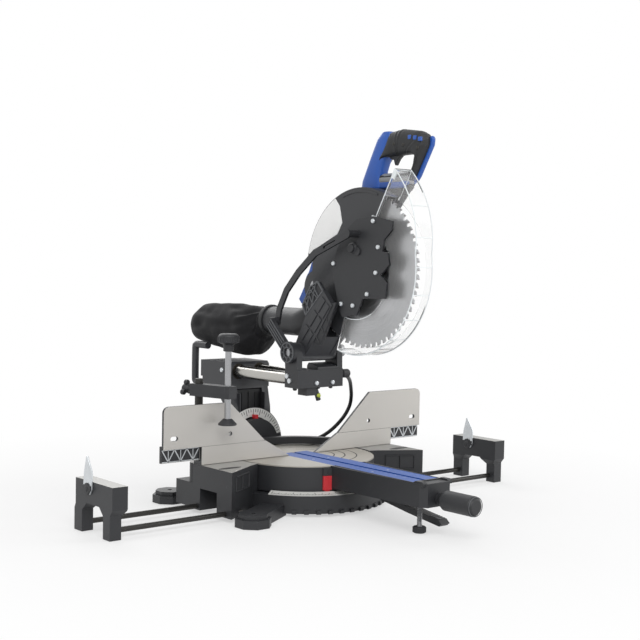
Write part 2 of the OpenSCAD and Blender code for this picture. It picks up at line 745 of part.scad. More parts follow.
module arbor()
    color(steel) {
        bar_x(hub, -8, 12, arbor_r - 0.02);
        bar_x(hub, 12, case_x1 - 1, 10);
        bar_x(hub, pulley_x0, pulley_x1, arbor_pulley_r);
    }
module blade()
    color("silver") difference() {
        step = 360 / blade_teeth;
        slab_x([for (i = [0 : blade_teeth - 1]) each [polar(blade_r, i * step), polar(blade_r - 2, i * step + 0.45 * step),
            polar(blade_r - 9, i * step + 0.62 * step), polar(blade_r - 7, i * step + 0.9 * step)]], -blade_t / 2, blade_t / 2);
        bar_x(hub, -blade_t, blade_t, arbor_r);
    }
module flanges()
    color(graphite) {
        difference() {
            union() {
                bar_x(hub, blade_t / 2, 8, flange_r);
                bar_x(hub, -8, -blade_t / 2, flange_r);
            }
            bar_x(hub, -9, 9, arbor_r);
        }
        translate([-17, hub[0], hub[1]]) rotate([0, 90, 0]) cylinder(h = 9, r = 12, $fn = 6);
    }

module upper_guard()
    color(graphite) union() {
        for (arc = [[8, 110], [-46, 26]])
            about_hub([[44, guard_x1], [guard_r, guard_x1], [guard_r, guard_x0], [46, guard_x0], [46, guard_x0 + skin],
                [guard_r - skin, guard_x0 + skin], [guard_r - skin, guard_x1 - skin], [44, guard_x1 - skin]], arc[0], arc[1]);
        // open channel below, with cheeks only
        for (wall = [[46.5, guard_x0 + 0.1, guard_x0 + skin - 0.2], [44.5, guard_x1 - skin + 0.2, guard_x1 - 0.1]])
            about_hub([[wall[0], wall[1]], [guard_r - 16, wall[1]], [guard_r - 16, wall[2]], [wall[0], wall[2]]], -70, 79);
        about_hub([[36, clear_x0 + 0.1], [45, clear_x0 + 0.1], [45, guard_x0 + 0.2], [60, guard_x0 + 0.2],
            [60, guard_x0 + skin + 0.5], [36, guard_x0 + skin + 0.5]]);
        about_hub([[43, guard_x1 - skin - 0.5], [62, guard_x1 - skin - 0.5], [62, guard_x1 - 0.2], [43, guard_x1 - 0.2]]);
    }

// The clear guard is wider towards its upper end
guard_low = -107;
guard_high = 61;
function clear_r(a) = guard_r + 9 + max(0, a - 10) * 0.95;
function steps(a0, a1, n) = [for (i = [0 : n]) a0 + (a1 - a0) * i / n];
function clear_band(thick, inner, a0, a1) =
    concat([for (a = steps(a0, a1, 28)) polar(clear_r(a) - thick, a)], [for (a = steps(a1, a0, 28)) polar(inner, a)]);
function ring_band(outer, inner, a0, a1) =
    concat([for (a = steps(a0, a1, 32)) polar(outer, a)], [for (a = steps(a1, a0, 32)) polar(inner, a)]);
module lower_guard()
    color("lightblue", 0.4) difference() {
        slab_x(clear_band(0, 96, guard_low, guard_high), clear_x0, clear_x1);
        slab_x(ring_band(guard_r + 3, 90, guard_low - 8, guard_high + 9), clear_x0 + skin, clear_x1 - skin);
        slab_x(clear_band(skin, guard_r + 2, guard_low - 8, guard_high - 1.5), clear_x0 + skin, clear_x1 - skin);
        slab_x(ring_band(guard_r - 7, 90, guard_low - 8, guard_high + 9), clear_x1 - skin - 1, clear_x1 + 1);
    }

carrier_outline = [[-51, 100], [-106, 90], [-104, 74], [-94, 64], [-84, 56], [-80, 34], [-95, 32], [-99, 9], [-76, -10],
    [-94, -24], [-91, -54], [-28, -56], [-11, -88], [29, -94], [39, -80], [54, -31], [62, 0], [48, 40], [21, 77], [-8, 96]];
carrier_screws = [[-55, 91], [-70, 42], [-65, -6], [57, 10], [32, -68], [-2, -70], [-42, -47]];
module guard_carrier()
    color(black) union() {
        slab_x([for (p = carrier_outline) hub + p], carrier_x0, carrier_x1);
        about_hub([[45 + 2 * fit, carrier_x1], [52, carrier_x1], [52, guard_x0 - 2], [45 + 2 * fit, guard_x0 - 2]]);
        bar_x(link_pin, link_x1 + gap, carrier_x0, 7);
        bar_x(polar(36, 70), carrier_x0 - 3, carrier_x0, 8);
        for (p = carrier_screws) bar_x(hub + p, carrier_x0 - 1.6, carrier_x0, 4);
    }
module guard_link()
    color(black) {
        line = concat([link_foot], link_bends, [link_pin]);
        difference() {
            for (i = [0 : len(line) - 2]) strip_x(line[i], line[i + 1], 14, link_x0, link_x1);
            strip_x([-116, 518.5], [-148, 530.5], 5, link_x0 - 1, link_x1 + 1);
        }
        bar_x(link_pin, link_x0 - 4, link_x0, 8);
        bar_x(link_foot, car_x0 - 5, link_x0 + 1, 5);
    }

// HANDLE

handle_back = [[-134, 636], [-138, 650], [-190, 738], [-200, 743]];
handle_top = [[-245, 745], [-288, 739], [-308, 731]];
handle_front = [[-313, 724], [-311, 711], [-278, 654], [-269, 644], [-254, 635]];
grip_ring = [[-178, 646], [-176, 662], [-208, 734], [-214, 741.5], [-245, 745], [-288, 739], [-302, 733], [-306, 722],
    [-305, 711], [-272, 655], [-262, 646]];
hand_hole = [[-190, 664], [-190, 672], [-198, 688], [-206, 692], [-268, 695], [-277, 689], [-267, 668], [-258, 662], [-196, 660]];
hole_flare = 9;
trigger_box = [[-236, 676], [-206, 704]];
module handle_shell()
    color(blue) difference() {
        union() {
            slab_x(concat(handle_back, handle_top, handle_front), handle_x0, handle_x1);
            slab_x([[-134, 637], [-270, 637], drive(20, case_hub_r - 3), drive(110, case_motor_r)], back_x1 + 2, handle_x1 - 6);
        }
        slab_x(grip_ring, handle_x0 - 1, handle_x1 + 1);
        drive_outline(case_hub_r + gap, case_motor_r + gap, 0, 80);
    }
// Thin slice of the hand hole, grown all round
module flare(x, grow)
    translate([x, 0, 0]) rotate([90, 0, 90]) linear_extrude(0.1) offset(delta = grow) polygon(hand_hole);
module handle_grip()
    color(black) difference() {
        slab_x(grip_ring, handle_x0, handle_x1);
        slab_x(hand_hole, handle_x0 - 1, handle_x1 + 1);
        for (side = [0, 1]) hull() {
            flare(side ? handle_x1 : handle_x0 - 0.1, hole_flare);
            flare(side ? handle_x1 - hole_flare : handle_x0 + hole_flare, 0);
        }
        block([handle_x0 + 10, trigger_box[0][0] - gap, 680], [handle_x1 - 10, trigger_box[1][0] + gap, trigger_box[1][1] + 8]);
    }
module trigger()
    color(black) slab_x([[trigger_box[0][0], 690], [trigger_box[0][0] + 16, 680], [trigger_box[1][0] - 6, trigger_box[0][1]],
        [trigger_box[1][0], 682], [trigger_box[1][0], trigger_box[1][1]], [trigger_box[0][0], trigger_box[1][1]]],
        handle_x0 + 10 + gap, handle_x1 - 10 - gap);

// DUST BAG

module dust_chute()
    color("gray") {
        hull() {
            slab_x([[-56, 376], [-36.5, 404], [-30.5, 404], [-50, 376]], guard_x0 + 4, guard_x1 - 8);
            bar_y(pipe_x, pipe_z, 34, 36, pipe_r);
        }
        bar_y(pipe_x, pipe_z, 35, pipe_back, pipe_r);
    }
bag_rings = [[pipe_back, pipe_z, pipe_r], [160, 358, 34], [205, 337, 59], [285, 347, 54], [365, 353, 47], [405, 349, 28]];
module dust_bag()
    color("#1b1c20") union() for (i = [0 : len(bag_rings) - 2]) {
        a = bag_rings[i];
        b = bag_rings[i + 1];
        hull() {
            bar_y(pipe_x, a[1], a[0] + gap, a[0] + 1, a[2], $fn = 32);
            bar_y(pipe_x, b[1], b[0], b[0] + 1, b[2], $fn = 32);
        }
    }

base();
mitre_scale();
fence();
left_sliding_fence();
right_sliding_fence();
turntable();
turntable_top();
kerf_plates();
kerf_screws();
pivot_pin();
pointers();
lock_grip();
detent_lever();
levelling_stud();
left_support();
left_support_rods();
left_stop_flag();
right_support();
right_support_rods();
right_stop_flag();
clamp_post();
clamp_arm();
clamp_wing_knob();
clamp_screw();
clamp_knob();
clamp_pad();
bevel_shaft();
bevel_lever();
bevel_arm();
bevel_scale();
rail_bushes();
rails();
rear_bracket();
carriage();
rail_screws();
hinge_pin();
link_bracket();
lock_pin();
laser_unit();
cable_gland();
head_cable();
head_arm();
upper_guard();
belt_case();
motor_case();
motor_stator();
motor_armature();
drive_belt();
bearings();
arbor();
blade();
flanges();
lower_guard();
guard_carrier();
guard_link();
handle_shell();
handle_grip();
trigger();
dust_chute();
dust_bag();
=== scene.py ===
import bpy
import bmesh
import math
from mathutils import Matrix, Vector, noise


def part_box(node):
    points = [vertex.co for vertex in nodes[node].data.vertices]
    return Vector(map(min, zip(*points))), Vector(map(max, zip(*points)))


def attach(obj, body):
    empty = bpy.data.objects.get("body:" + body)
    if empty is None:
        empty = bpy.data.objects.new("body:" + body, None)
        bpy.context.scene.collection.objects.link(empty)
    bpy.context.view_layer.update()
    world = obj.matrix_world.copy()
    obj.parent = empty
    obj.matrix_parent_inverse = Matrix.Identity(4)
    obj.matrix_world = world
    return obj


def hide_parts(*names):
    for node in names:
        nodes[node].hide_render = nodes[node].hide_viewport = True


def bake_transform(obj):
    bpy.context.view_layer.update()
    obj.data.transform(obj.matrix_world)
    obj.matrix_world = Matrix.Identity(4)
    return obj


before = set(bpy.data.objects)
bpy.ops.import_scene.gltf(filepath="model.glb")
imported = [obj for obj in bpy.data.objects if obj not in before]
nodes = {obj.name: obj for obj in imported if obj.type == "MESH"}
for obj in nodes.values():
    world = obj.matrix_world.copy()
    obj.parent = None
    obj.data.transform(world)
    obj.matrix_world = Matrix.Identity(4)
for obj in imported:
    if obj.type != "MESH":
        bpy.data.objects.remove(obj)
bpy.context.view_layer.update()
MM = 0.001
# height of the table's face and of the bevel's axis, in millimetres
TABLE_Z = 95
LEFT, RIGHT = Vector((-1, 0, 0)), Vector((1, 0, 0))
FRONT, BACK = Vector((0, -1, 0)), Vector((0, 1, 0))
UP, DOWN = Vector((0, 0, 1)), Vector((0, 0, -1))


def cosd(degrees):
    """The cosine of an angle in degrees."""
    return math.cos(math.radians(degrees))


def sind(degrees):
    """The sine of an angle in degrees."""
    return math.sin(math.radians(degrees))


# COLOURS AND NODES

def linear(code):
    """An sRGB hex colour as linear red, green, blue and alpha."""
    parts = [int(code[i:i + 2], 16) / 255 for i in (1, 3, 5)]
    return tuple(c / 12.92 if c <= 0.04045 else ((c + 0.055) / 1.055) ** 2.4 for c in parts) + (1.0,)


def add(tree, kind, inputs=None, **settings):
    """Adds a node with its settings, and sets or links its inputs."""
    n = tree.nodes.new(kind)
    for key, value in settings.items():
        setattr(n, key, value)
    for key, value in (inputs or {}).items():
        if isinstance(value, bpy.types.NodeSocket):
            tree.links.new(value, n.inputs[key])
        else:
            n.inputs[key].default_value = value
    return n


def feed(tree, key, socket):
    """Links a socket to an input of the material's shader."""
    tree.links.new(socket, tree.nodes["Principled BSDF"].inputs[key])


# how far gloss wanders either side of a finish's roughness, and the size of a scuff
ROUGH_SPREAD = 0.08
SCUFF_MM = 9


def finish_of(name, colour, rough, metallic=0.0, ior=1.5, grain_mm=1.5, grain_depth=0.05, patch_mm=60.0,
              patch=0.12, stretch=(1, 1, 1), scuff=None, sheen=0.0, coat=0.0):
    """A surface with slow patches of tone, a fine grain in height and gloss and, if named, scuffs."""
    m = bpy.data.materials.new(name)
    m.use_nodes = True
    t = m.node_tree
    bsdf = t.nodes["Principled BSDF"]
    bsdf.inputs["Metallic"].default_value = metallic
    bsdf.inputs["Sheen Weight"].default_value = sheen
    bsdf.inputs["Coat Weight"].default_value = coat
    if metallic < 0.5:
        bsdf.inputs["IOR"].default_value = ior
    spot = add(t, "ShaderNodeTexCoord").outputs["Object"]
    flow = add(t, "ShaderNodeMapping", {"Vector": spot, "Scale": stretch}).outputs["Vector"]
    slow = add(t, "ShaderNodeTexNoise",
               {"Vector": spot, "Scale": 1000 / patch_mm, "Detail": 3.0}).outputs["Fac"]
    base = linear(colour)
    dark = tuple(c * (1 - patch) for c in base[:3]) + (1.0,)
    light = tuple(min(1.0, c * (1 + patch)) for c in base[:3]) + (1.0,)
    tone = add(t, "ShaderNodeMix", {"Factor": slow, "A": dark, "B": light},
               data_type="RGBA").outputs["Result"]
    if scuff:
        rub = add(t, "ShaderNodeMapping", {"Vector": spot, "Scale": (1, 1, 0.35)}).outputs["Vector"]
        spots = add(t, "ShaderNodeTexNoise",
                    {"Vector": rub, "Scale": 1000 / SCUFF_MM, "Detail": 6.0, "Roughness": 0.7}).outputs["Fac"]
        worn = add(t, "ShaderNodeMapRange",
                   {"Value": spots, "From Min": 0.66, "From Max": 0.74, "To Max": 0.55}).outputs["Result"]
        tone = add(t, "ShaderNodeMix", {"Factor": worn, "A": tone, "B": linear(scuff)},
                   data_type="RGBA").outputs["Result"]
    feed(t, "Base Color", tone)
    fine = add(t, "ShaderNodeTexNoise",
               {"Vector": flow, "Scale": 1000 / grain_mm, "Detail": 2.0}).outputs["Fac"]
    bump = add(t, "ShaderNodeBump", {"Height": fine, "Strength": 1.0, "Distance": grain_depth * MM})
    feed(t, "Normal", bump.outputs["Normal"])
    glossy, dull = max(0.02, rough - ROUGH_SPREAD), min(1.0, rough + ROUGH_SPREAD)
    gloss = add(t, "ShaderNodeMapRange", {"Value": fine, "To Min": glossy, "To Max": dull})
    feed(t, "Roughness", gloss.outputs["Result"])
    return m


def overlay(m, mask, colour, rough, metallic):
    """Lays a second finish over a material where the mask is 1."""
    t = m.node_tree
    bsdf = t.nodes["Principled BSDF"]
    for key, value in (("Base Color", linear(colour)), ("Roughness", rough), ("Metallic", metallic)):
        under = bsdf.inputs[key]
        mix = add(t, "ShaderNodeMix", {"Factor": mask}, data_type="RGBA" if under.type == "RGBA" else "FLOAT")
        a, b = [s for s in mix.inputs if s.type == under.type and s.name in "AB"]
        out = next(s for s in mix.outputs if s.type == under.type)
        if under.is_linked:
            t.links.new(under.links[0].from_socket, a)
        else:
            a.default_value = under.default_value
        b.default_value = value
        t.links.new(out, under)
    return m


MATH = "ShaderNodeMath"


def where(t):
    """The object's own X, Y and Z in metres, and the surface's facing in X, Y and Z."""
    spot = add(t, "ShaderNodeTexCoord").outputs["Object"]
    normal = add(t, "ShaderNodeNewGeometry").outputs["True Normal"]
    return [add(t, "ShaderNodeSeparateXYZ", {0: v}).outputs for v in (spot, normal)]


def distance(t, a, b):
    """The length of two sides at a right angle."""
    corner = add(t, "ShaderNodeCombineXYZ", {0: a, 1: b}).outputs[0]
    return add(t, "ShaderNodeVectorMath", {0: corner}, operation="LENGTH").outputs["Value"]


# Powder coat on cast aluminium: satin, with the orange peel of the cured powder and a few rubbed spots
COAT = {"grain_mm": 1.8, "grain_depth": 0.10, "patch": 0.10}
cast_black = finish_of("black_powder_coat", "#28292c", 0.46, scuff="#4a4b4d", **COAT)
cast_graphite = finish_of("graphite_powder_coat", "#323336", 0.45, scuff="#54565a", **COAT)
guard_coat = finish_of("grey_guard_powder_coat", "#303134", 0.40, grain_mm=2.2, grain_depth=0.06, patch=0.08)
# Glass filled nylon: duller than the paint, with a spark eroded mould grain; ribs are painted paler, a
# painted highlight on their raised edges
NYLON = {"ior": 1.53, "grain_mm": 1.4}
nylon_black = finish_of("black_filled_nylon", "#232427", 0.52, grain_depth=0.12, patch=0.08, **NYLON)
nylon_grey = finish_of("grey_moulded_nylon", "#26272a", 0.5, grain_depth=0.10, **NYLON)
nylon_pale = finish_of("pale_moulded_nylon", "#8f9193", 0.45, grain_depth=0.06, **NYLON)
highlight_rib_nylon = finish_of("nylon_rib_painted_highlight", "#56585b", 0.45, ior=1.53, grain_mm=1.6, patch=0.18, patch_mm=14)
# ABS dyed right through and moulded with a fine satin grain
abs_blue = finish_of("blue_moulded_abs", "#2556ab", 0.40, ior=1.53, grain_mm=1.4, grain_depth=0.06,
                     patch=0.06)
abs_insert = finish_of("blue_kerf_abs", "#2156ac", 0.42, ior=1.45, grain_mm=2.0, grain_depth=0.04, patch=0.14,
                       scuff="#3f6db5")
abs_red = finish_of("red_moulded_abs", "#c8202b", 0.35, ior=1.53, grain_mm=2.0, grain_depth=0.04)
# Ground and hard chromed steel tube, polished along its length
rail_chrome = finish_of("ground_chromed_steel", "#b4b2ad", 0.24, metallic=1.0, grain_mm=1.0,
                        grain_depth=0.008, patch=0.04, stretch=(1, 0.02, 1))
# Turned, blackened and zinc plated steels: bright cut rings, an oily dark skin, the mottled white of zinc
steel_turned = finish_of("turned_steel", "#a5a6a8", 0.3, metallic=1.0, grain_depth=0.01, patch=0.06)
steel_black = finish_of("blackened_steel", "#3d3c3a", 0.42, metallic=0.7, grain_depth=0.02)
steel_zinc = finish_of("zinc_plated_steel", "#d3d7da", 0.32, metallic=0.7, grain_mm=6.0, grain_depth=0.02,
                       patch_mm=12)
# Sintered bronze, dark with oil; iron sheets stacked edge on; brazed carbide, a dull grey with a metal glint
bush_bronze = finish_of("oiled_sintered_bronze", "#33302b", 0.5, metallic=0.9, grain_mm=0.9, grain_depth=0.03)
iron_core = finish_of("laminated_iron", "#5a4b40", 0.45, metallic=0.6, grain_mm=1.0, stretch=(4, 0.2, 0.2))
carbide = finish_of("brazed_carbide", "#7d7a76", 0.36, metallic=0.8, grain_depth=0.01)
# Soft moulded rubber: matt with a coarse leathery grain on the grip, smoother on a cord
rubber_black = finish_of("moulded_grip_rubber", "#1e1f21", 0.60, ior=1.52, grain_mm=2.2, grain_depth=0.18,
                         patch=0.08)
cord_rubber = finish_of("cord_rubber", "#1a1b1c", 0.5, ior=1.52, grain_mm=2.0, grain_depth=0.03)
# Printed plastic strip and foil: clean, with a faint gloss, and the ink of the marks, whose near black also
# paints the shade at the back of the arm's recess
scale_white = finish_of("white_scale_strip", "#dcdcd8", 0.45, patch=0.04, grain_depth=0.01)
ink_and_recess_shade = finish_of("black_ink_and_recess_shade", "#17181a", 0.55, patch=0.05, grain_depth=0.01)
panel_white = finish_of("off_white_foil", "#f6f6f5", 0.5, patch=0.06, grain_mm=4.0, grain_depth=0.01,
                        coat=0.2)
# Clear plastics, glossy under a coat: a dyed lens, and pale opaque polycarbonate edges, a painted highlight
# for the light that clear edges gather
lens_green = finish_of("yellow_green_lens", "#b9c63a", 0.12, ior=1.55, patch=0.10, patch_mm=4,
                       grain_depth=0.004, coat=0.6)
edge_glint_paint = finish_of("polycarbonate_edge_painted_glint", "#e9eef0", 0.18, ior=1.58, patch=0.05, grain_mm=5.0,
                       grain_depth=0.02, coat=0.4)


def machined_top():
    """Black powder coat whose upper face, at table height, is milled bare: pale aluminium."""
    m = finish_of("black_coat_milled_top", "#28292c", 0.46, scuff="#4a4b4d", **COAT)
    t = m.node_tree
    spot, facing = where(t)
    level = add(t, MATH, {0: spot[2], 1: (TABLE_Z - 1.5) * MM}, operation="GREATER_THAN").outputs[0]
    upward = add(t, MATH, {0: facing[2], 1: 0.9}, operation="GREATER_THAN").outputs[0]
    bare = add(t, MATH, {0: upward, 1: level}, operation="MULTIPLY").outputs[0]
    return overlay(m, bare, "#a9a8a5", 0.42, 0.35)


def fence_finish():
    """Cast fence with a black coat, its front face milled bare: pale grey with faint upright cutter marks."""
    m = finish_of("milled_fence_aluminium", "#26272a", 0.46, grain_mm=1.6, grain_depth=0.03, patch=0.06,
                  stretch=(1, 1, 0.05))
    t = m.node_tree
    spot, facing = where(t)
    front_part = add(t, MATH, {0: spot[1], 1: 0.012}, operation="LESS_THAN").outputs[0]
    forward = add(t, MATH, {0: facing[1], 1: -0.8}, operation="LESS_THAN").outputs[0]
    bare = add(t, MATH, {0: forward, 1: front_part}, operation="MULTIPLY").outputs[0]
    return overlay(m, bare, "#c6c3be", 0.44, 0.45)


def turned_table():
    """Die cast table with a turned face: warm pale grey, fine rings, and three stepped grooves drawn as dark
    rings of painted shade.
    """
    m = finish_of("turned_table_aluminium", "#b5b1a9", 0.40, metallic=0.45, grain_depth=0.01, patch=0.06)
    t = m.node_tree
    spot = where(t)[0]
    radius = distance(t, spot[0], spot[1])
    # painted shade for grooves 2.6 mm wide, on the right part of the table alone
    groove_shade = 0.0
    for at in (0.066, 0.088, 0.112):
        near = add(t, MATH, {0: radius, 1: at, 2: 0.0013}, operation="COMPARE").outputs[0]
        groove_shade = add(t, MATH, {0: groove_shade, 1: near}, operation="MAXIMUM").outputs[0]
    right_part = add(t, MATH, {0: spot[0], 1: 0.03}, operation="GREATER_THAN").outputs[0]
    groove_shade = add(t, MATH, {0: groove_shade, 1: right_part}, operation="MULTIPLY").outputs[0]
    overlay(m, groove_shade, "#2e2e2f", 0.6, 0.1)
    # the cutter's rings are 0.4 mm apart on the real one, and drawn 0.6 mm apart
    ring = add(t, "ShaderNodeTexNoise", {"W": radius, "Scale": 1000 / 0.6, "Detail": 1.0},
               noise_dimensions="1D")
    bump = add(t, "ShaderNodeBump", {"Height": ring.outputs["Fac"], "Strength": 1.0, "Distance": 0.02 * MM})
    feed(t, "Normal", bump.outputs["Normal"])
    return m


def ground_plate():
    """Saw plate ground on a rotary table: grey steel with fine rings round the arbor."""
    m = finish_of("ground_saw_steel", "#b2b3b5", 0.30, metallic=0.8, grain_depth=0.01, patch=0.06)
    t = m.node_tree
    axis = sum(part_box("blade"), Vector()) / 2
    spot = where(t)[0]
    away = [add(t, MATH, {0: spot[i], 1: axis[i]}, operation="SUBTRACT").outputs[0] for i in (1, 2)]
    # the grinding rings are drawn 0.4 mm apart
    ring = add(t, "ShaderNodeTexNoise", {"W": distance(t, *away), "Scale": 1000 / 0.4, "Detail": 2.0},
               noise_dimensions="1D")
    gloss = add(t, "ShaderNodeMapRange", {"Value": ring.outputs["Fac"], "To Min": 0.22, "To Max": 0.40})
    feed(t, "Roughness", gloss.outputs["Result"])
    return m


def woven_cloth():
    """Coated polyester: a dull black weave with a soft sheen on the folds."""
    m = finish_of("black_polyester_cloth", "#0f0f12", 0.85, ior=1.4, grain_mm=3.0, grain_depth=0.2,
                  patch=0.25, patch_mm=40, sheen=0.06)
    t = m.node_tree
    spot = add(t, "ShaderNodeTexCoord").outputs["Object"]
    # the threads are 0.5 mm apart on the real cloth, and drawn 2.4 mm apart so that they show
    # a wave node of scale 1 has about 3.2 waves to the unit
    threads = {"Vector": spot, "Scale": 1000 / 2.4 / 3.2}
    warp, weft = [add(t, "ShaderNodeTexWave", threads, bands_direction=way).outputs["Fac"] for way in "YZ"]
    weave = add(t, MATH, {0: warp, 1: weft}, operation="MULTIPLY").outputs[0]
    bump = add(t, "ShaderNodeBump", {"Height": weave, "Strength": 1.0, "Distance": 0.15 * MM})
    feed(t, "Normal", bump.outputs["Normal"])
    return m


def clear_polycarbonate():
    """Clear polycarbonate: see-through, with a slight haze."""
    m = bpy.data.materials.new("clear_polycarbonate")
    m.use_nodes = True
    t = m.node_tree
    bsdf = t.nodes["Principled BSDF"]
    bsdf.inputs["Base Color"].default_value = linear("#ffffff")
    bsdf.inputs["Transmission Weight"].default_value = 0.95
    # real polycarbonate has about 1.58
    bsdf.inputs["IOR"].default_value = 1.16
    spot = add(t, "ShaderNodeTexCoord").outputs["Object"]
    wave = add(t, "ShaderNodeTexNoise", {"Vector": spot, "Scale": 1000 / 25, "Detail": 1.0}).outputs["Fac"]
    haze = add(t, "ShaderNodeMapRange", {"Value": wave, "To Min": 0.01, "To Max": 0.07})
    feed(t, "Roughness", haze.outputs["Result"])
    return m


bag_cloth = woven_cloth()
DRESS = {
    machined_top(): ["base", "left_support", "right_support"],
    cast_black: ["turntable", "clamp_arm", "carriage", "link_bracket", "guard_link"],
    cast_graphite: ["bevel_arm", "rear_bracket", "head_arm"],
    guard_coat: ["upper_guard"],
    nylon_black: ["lock_grip", "detent_lever", "clamp_wing_knob", "clamp_knob", "clamp_pad", "bevel_lever",
                  "lock_pin", "laser_unit", "motor_case", "guard_carrier", "trigger"],
    nylon_grey: ["dust_chute"],
    abs_blue: ["belt_case", "handle_shell"],
    abs_insert: ["kerf_plates"],
    abs_red: ["pointers"],
    fence_finish(): ["fence", "left_sliding_fence", "right_sliding_fence"],
    turned_table(): ["turntable_top"],
    rail_chrome: ["rails"],
    steel_turned: ["pivot_pin", "clamp_screw", "bevel_shaft", "hinge_pin", "bearings", "arbor"],
    steel_black: ["levelling_stud", "left_support_rods", "right_support_rods", "clamp_post", "flanges",
                  "motor_armature"],
    steel_zinc: ["kerf_screws", "left_stop_flag", "right_stop_flag", "rail_screws"],
    bush_bronze: ["rail_bushes"],
    rubber_black: ["cable_gland", "handle_grip"],
    iron_core: ["motor_stator"],
    cord_rubber: ["drive_belt", "head_cable"],
    scale_white: ["mitre_scale", "bevel_scale"],
    ground_plate(): ["blade"],
    clear_polycarbonate(): ["lower_guard"],
    bag_cloth: ["dust_bag"],
}
for finish, names in DRESS.items():
    for name in names:
        for s in nodes[name].material_slots:
            s.material = finish


# CAMERA, LIGHT AND FLOOR

# the photograph's camera: its place in metres, its turn, tilt and roll in degrees, its lens in millimetres
CAMERA_AT = (-1.5568, -1.8973, 0.4881)
CAMERA_TURN, CAMERA_TILT, CAMERA_ROLL = -40.106, -2.712, 1.0515
CAMERA_LENS, SENSOR_WIDTH = 67.5, 36
AIM = (0, 0, 0.3)
FLOOR_REACH, FLOOR_DROP = 9, 0.0005


def photograph_camera():
    """The camera that the photograph was taken from."""
    flat = cosd(CAMERA_TILT)
    ahead = Vector((-sind(CAMERA_TURN) * flat, cosd(CAMERA_TURN) * flat, sind(CAMERA_TILT)))
    right = Vector((cosd(CAMERA_TURN), sind(CAMERA_TURN), 0))
    up = right.cross(ahead)
    side = right * cosd(CAMERA_ROLL) + up * sind(CAMERA_ROLL)
    top = up * cosd(CAMERA_ROLL) - right * sind(CAMERA_ROLL)
    cam = bpy.data.objects.new("camera", bpy.data.cameras.new("camera"))
    bpy.context.scene.collection.objects.link(cam)
    cam.data.lens = CAMERA_LENS
    cam.data.sensor_width = SENSOR_WIDTH
    cam.data.sensor_fit = "HORIZONTAL"
    cam.matrix_world = Matrix((side, top, -ahead)).transposed().to_4x4()
    cam.location = CAMERA_AT
    bpy.context.scene.camera = cam


def lamp(name, at, size, watts):
    """A rectangular lamp that faces the middle of the object."""
    data = bpy.data.lights.new(name, "AREA")
    data.shape = "RECTANGLE"
    data.size, data.size_y = size
    data.energy = watts
    o = bpy.data.objects.new(name, data)
    o.location = at
    o.rotation_euler = (Vector(AIM) - Vector(at)).to_track_quat("-Z", "Y").to_euler()
    bpy.context.scene.collection.objects.link(o)


def background_rays(t):
    """1 for the rays that show the background: from the camera, through clear plastic or off a gloss."""
    ray = add(t, "ShaderNodeLightPath").outputs
    seen = ray["Is Camera Ray"]
    for key in ("Is Transmission Ray", "Is Glossy Ray"):
        seen = add(t, MATH, {0: seen, 1: ray[key]}, operation="MAXIMUM").outputs[0]
    return seen


def white_surroundings():
    """A world that shows white and lights the object at a plain level."""
    world = bpy.data.worlds.new("studio")
    bpy.context.scene.world = world
    world.use_nodes = True
    t = world.node_tree
    t.nodes.clear()
    strength = add(t, "ShaderNodeMapRange", {"Value": background_rays(t), "To Min": 0.55, "To Max": 1.0})
    back = add(t, "ShaderNodeBackground", {"Color": (1, 1, 1, 1), "Strength": strength.outputs["Result"]})
    add(t, "ShaderNodeOutputWorld", {0: back.outputs[0]})


def paper_floor():
    """A pale sweep that takes the shadow near the object and fades to white further off."""
    r, z = FLOOR_REACH, -FLOOR_DROP
    mesh = bpy.data.meshes.new("floor")
    mesh.from_pydata([(-r, -r, z), (r, -r, z), (r, r, z), (-r, r, z)], [], [(0, 1, 2, 3)])
    floor = bpy.data.objects.new("floor", mesh)
    bpy.context.scene.collection.objects.link(floor)
    m = bpy.data.materials.new("pale_paper_sweep")
    m.use_nodes = True
    t = m.node_tree
    t.nodes.clear()
    spot = add(t, "ShaderNodeTexCoord").outputs["Object"]
    away = add(t, "ShaderNodeVectorMath", {0: spot}, operation="LENGTH").outputs["Value"]
    fade = add(t, "ShaderNodeMapRange",
               {"Value": away, "From Min": 0.45, "From Max": 1.1, "To Min": 0.5, "To Max": 1.0})
    lift = add(t, MATH, {0: background_rays(t), 1: fade.outputs["Result"]}, operation="MULTIPLY").outputs[0]
    matt = add(t, "ShaderNodeBsdfDiffuse", {"Color": (0.92, 0.92, 0.92, 1)})
    glow = add(t, "ShaderNodeEmission", {"Color": (1, 1, 1, 1), "Strength": 1.0})
    mix = add(t, "ShaderNodeMixShader", {0: lift, 1: matt.outputs[0], 2: glow.outputs[0]})
    add(t, "ShaderNodeOutputMaterial", {0: mix.outputs[0]})
    mesh.materials.append(m)


bpy.context.scene.view_settings.view_transform = "Standard"
photograph_camera()
white_surroundings()
paper_floor()
lamp("key", (-1.6, -2.4, 2.6), (2.2, 1.6), 55)
lamp("fill", (2.6, -1.6, 1.4), (1.6, 1.6), 22)
lamp("back", (0.6, 2.8, 2.2), (2.4, 1.2), 32)


# CABLE FROM THE CARRIAGE TO THE ARM

CABLE_R = 0.004
CABLE_ROUTE = [(70, -24, 256), (84, -24, 256), (102, -16, 253), (124, 2, 247), (147, 22, 236),
               (166, 40, 219), (178, 52, 199), (181, 60, 178), (174, 67, 157), (161, 76, 137),
               (146, 88, 119), (132, 105, 105), (121, 127, 96), (111, 150, 92), (100, 170, 93),
               (89, 181, 95), (80.1, 183, 95)]


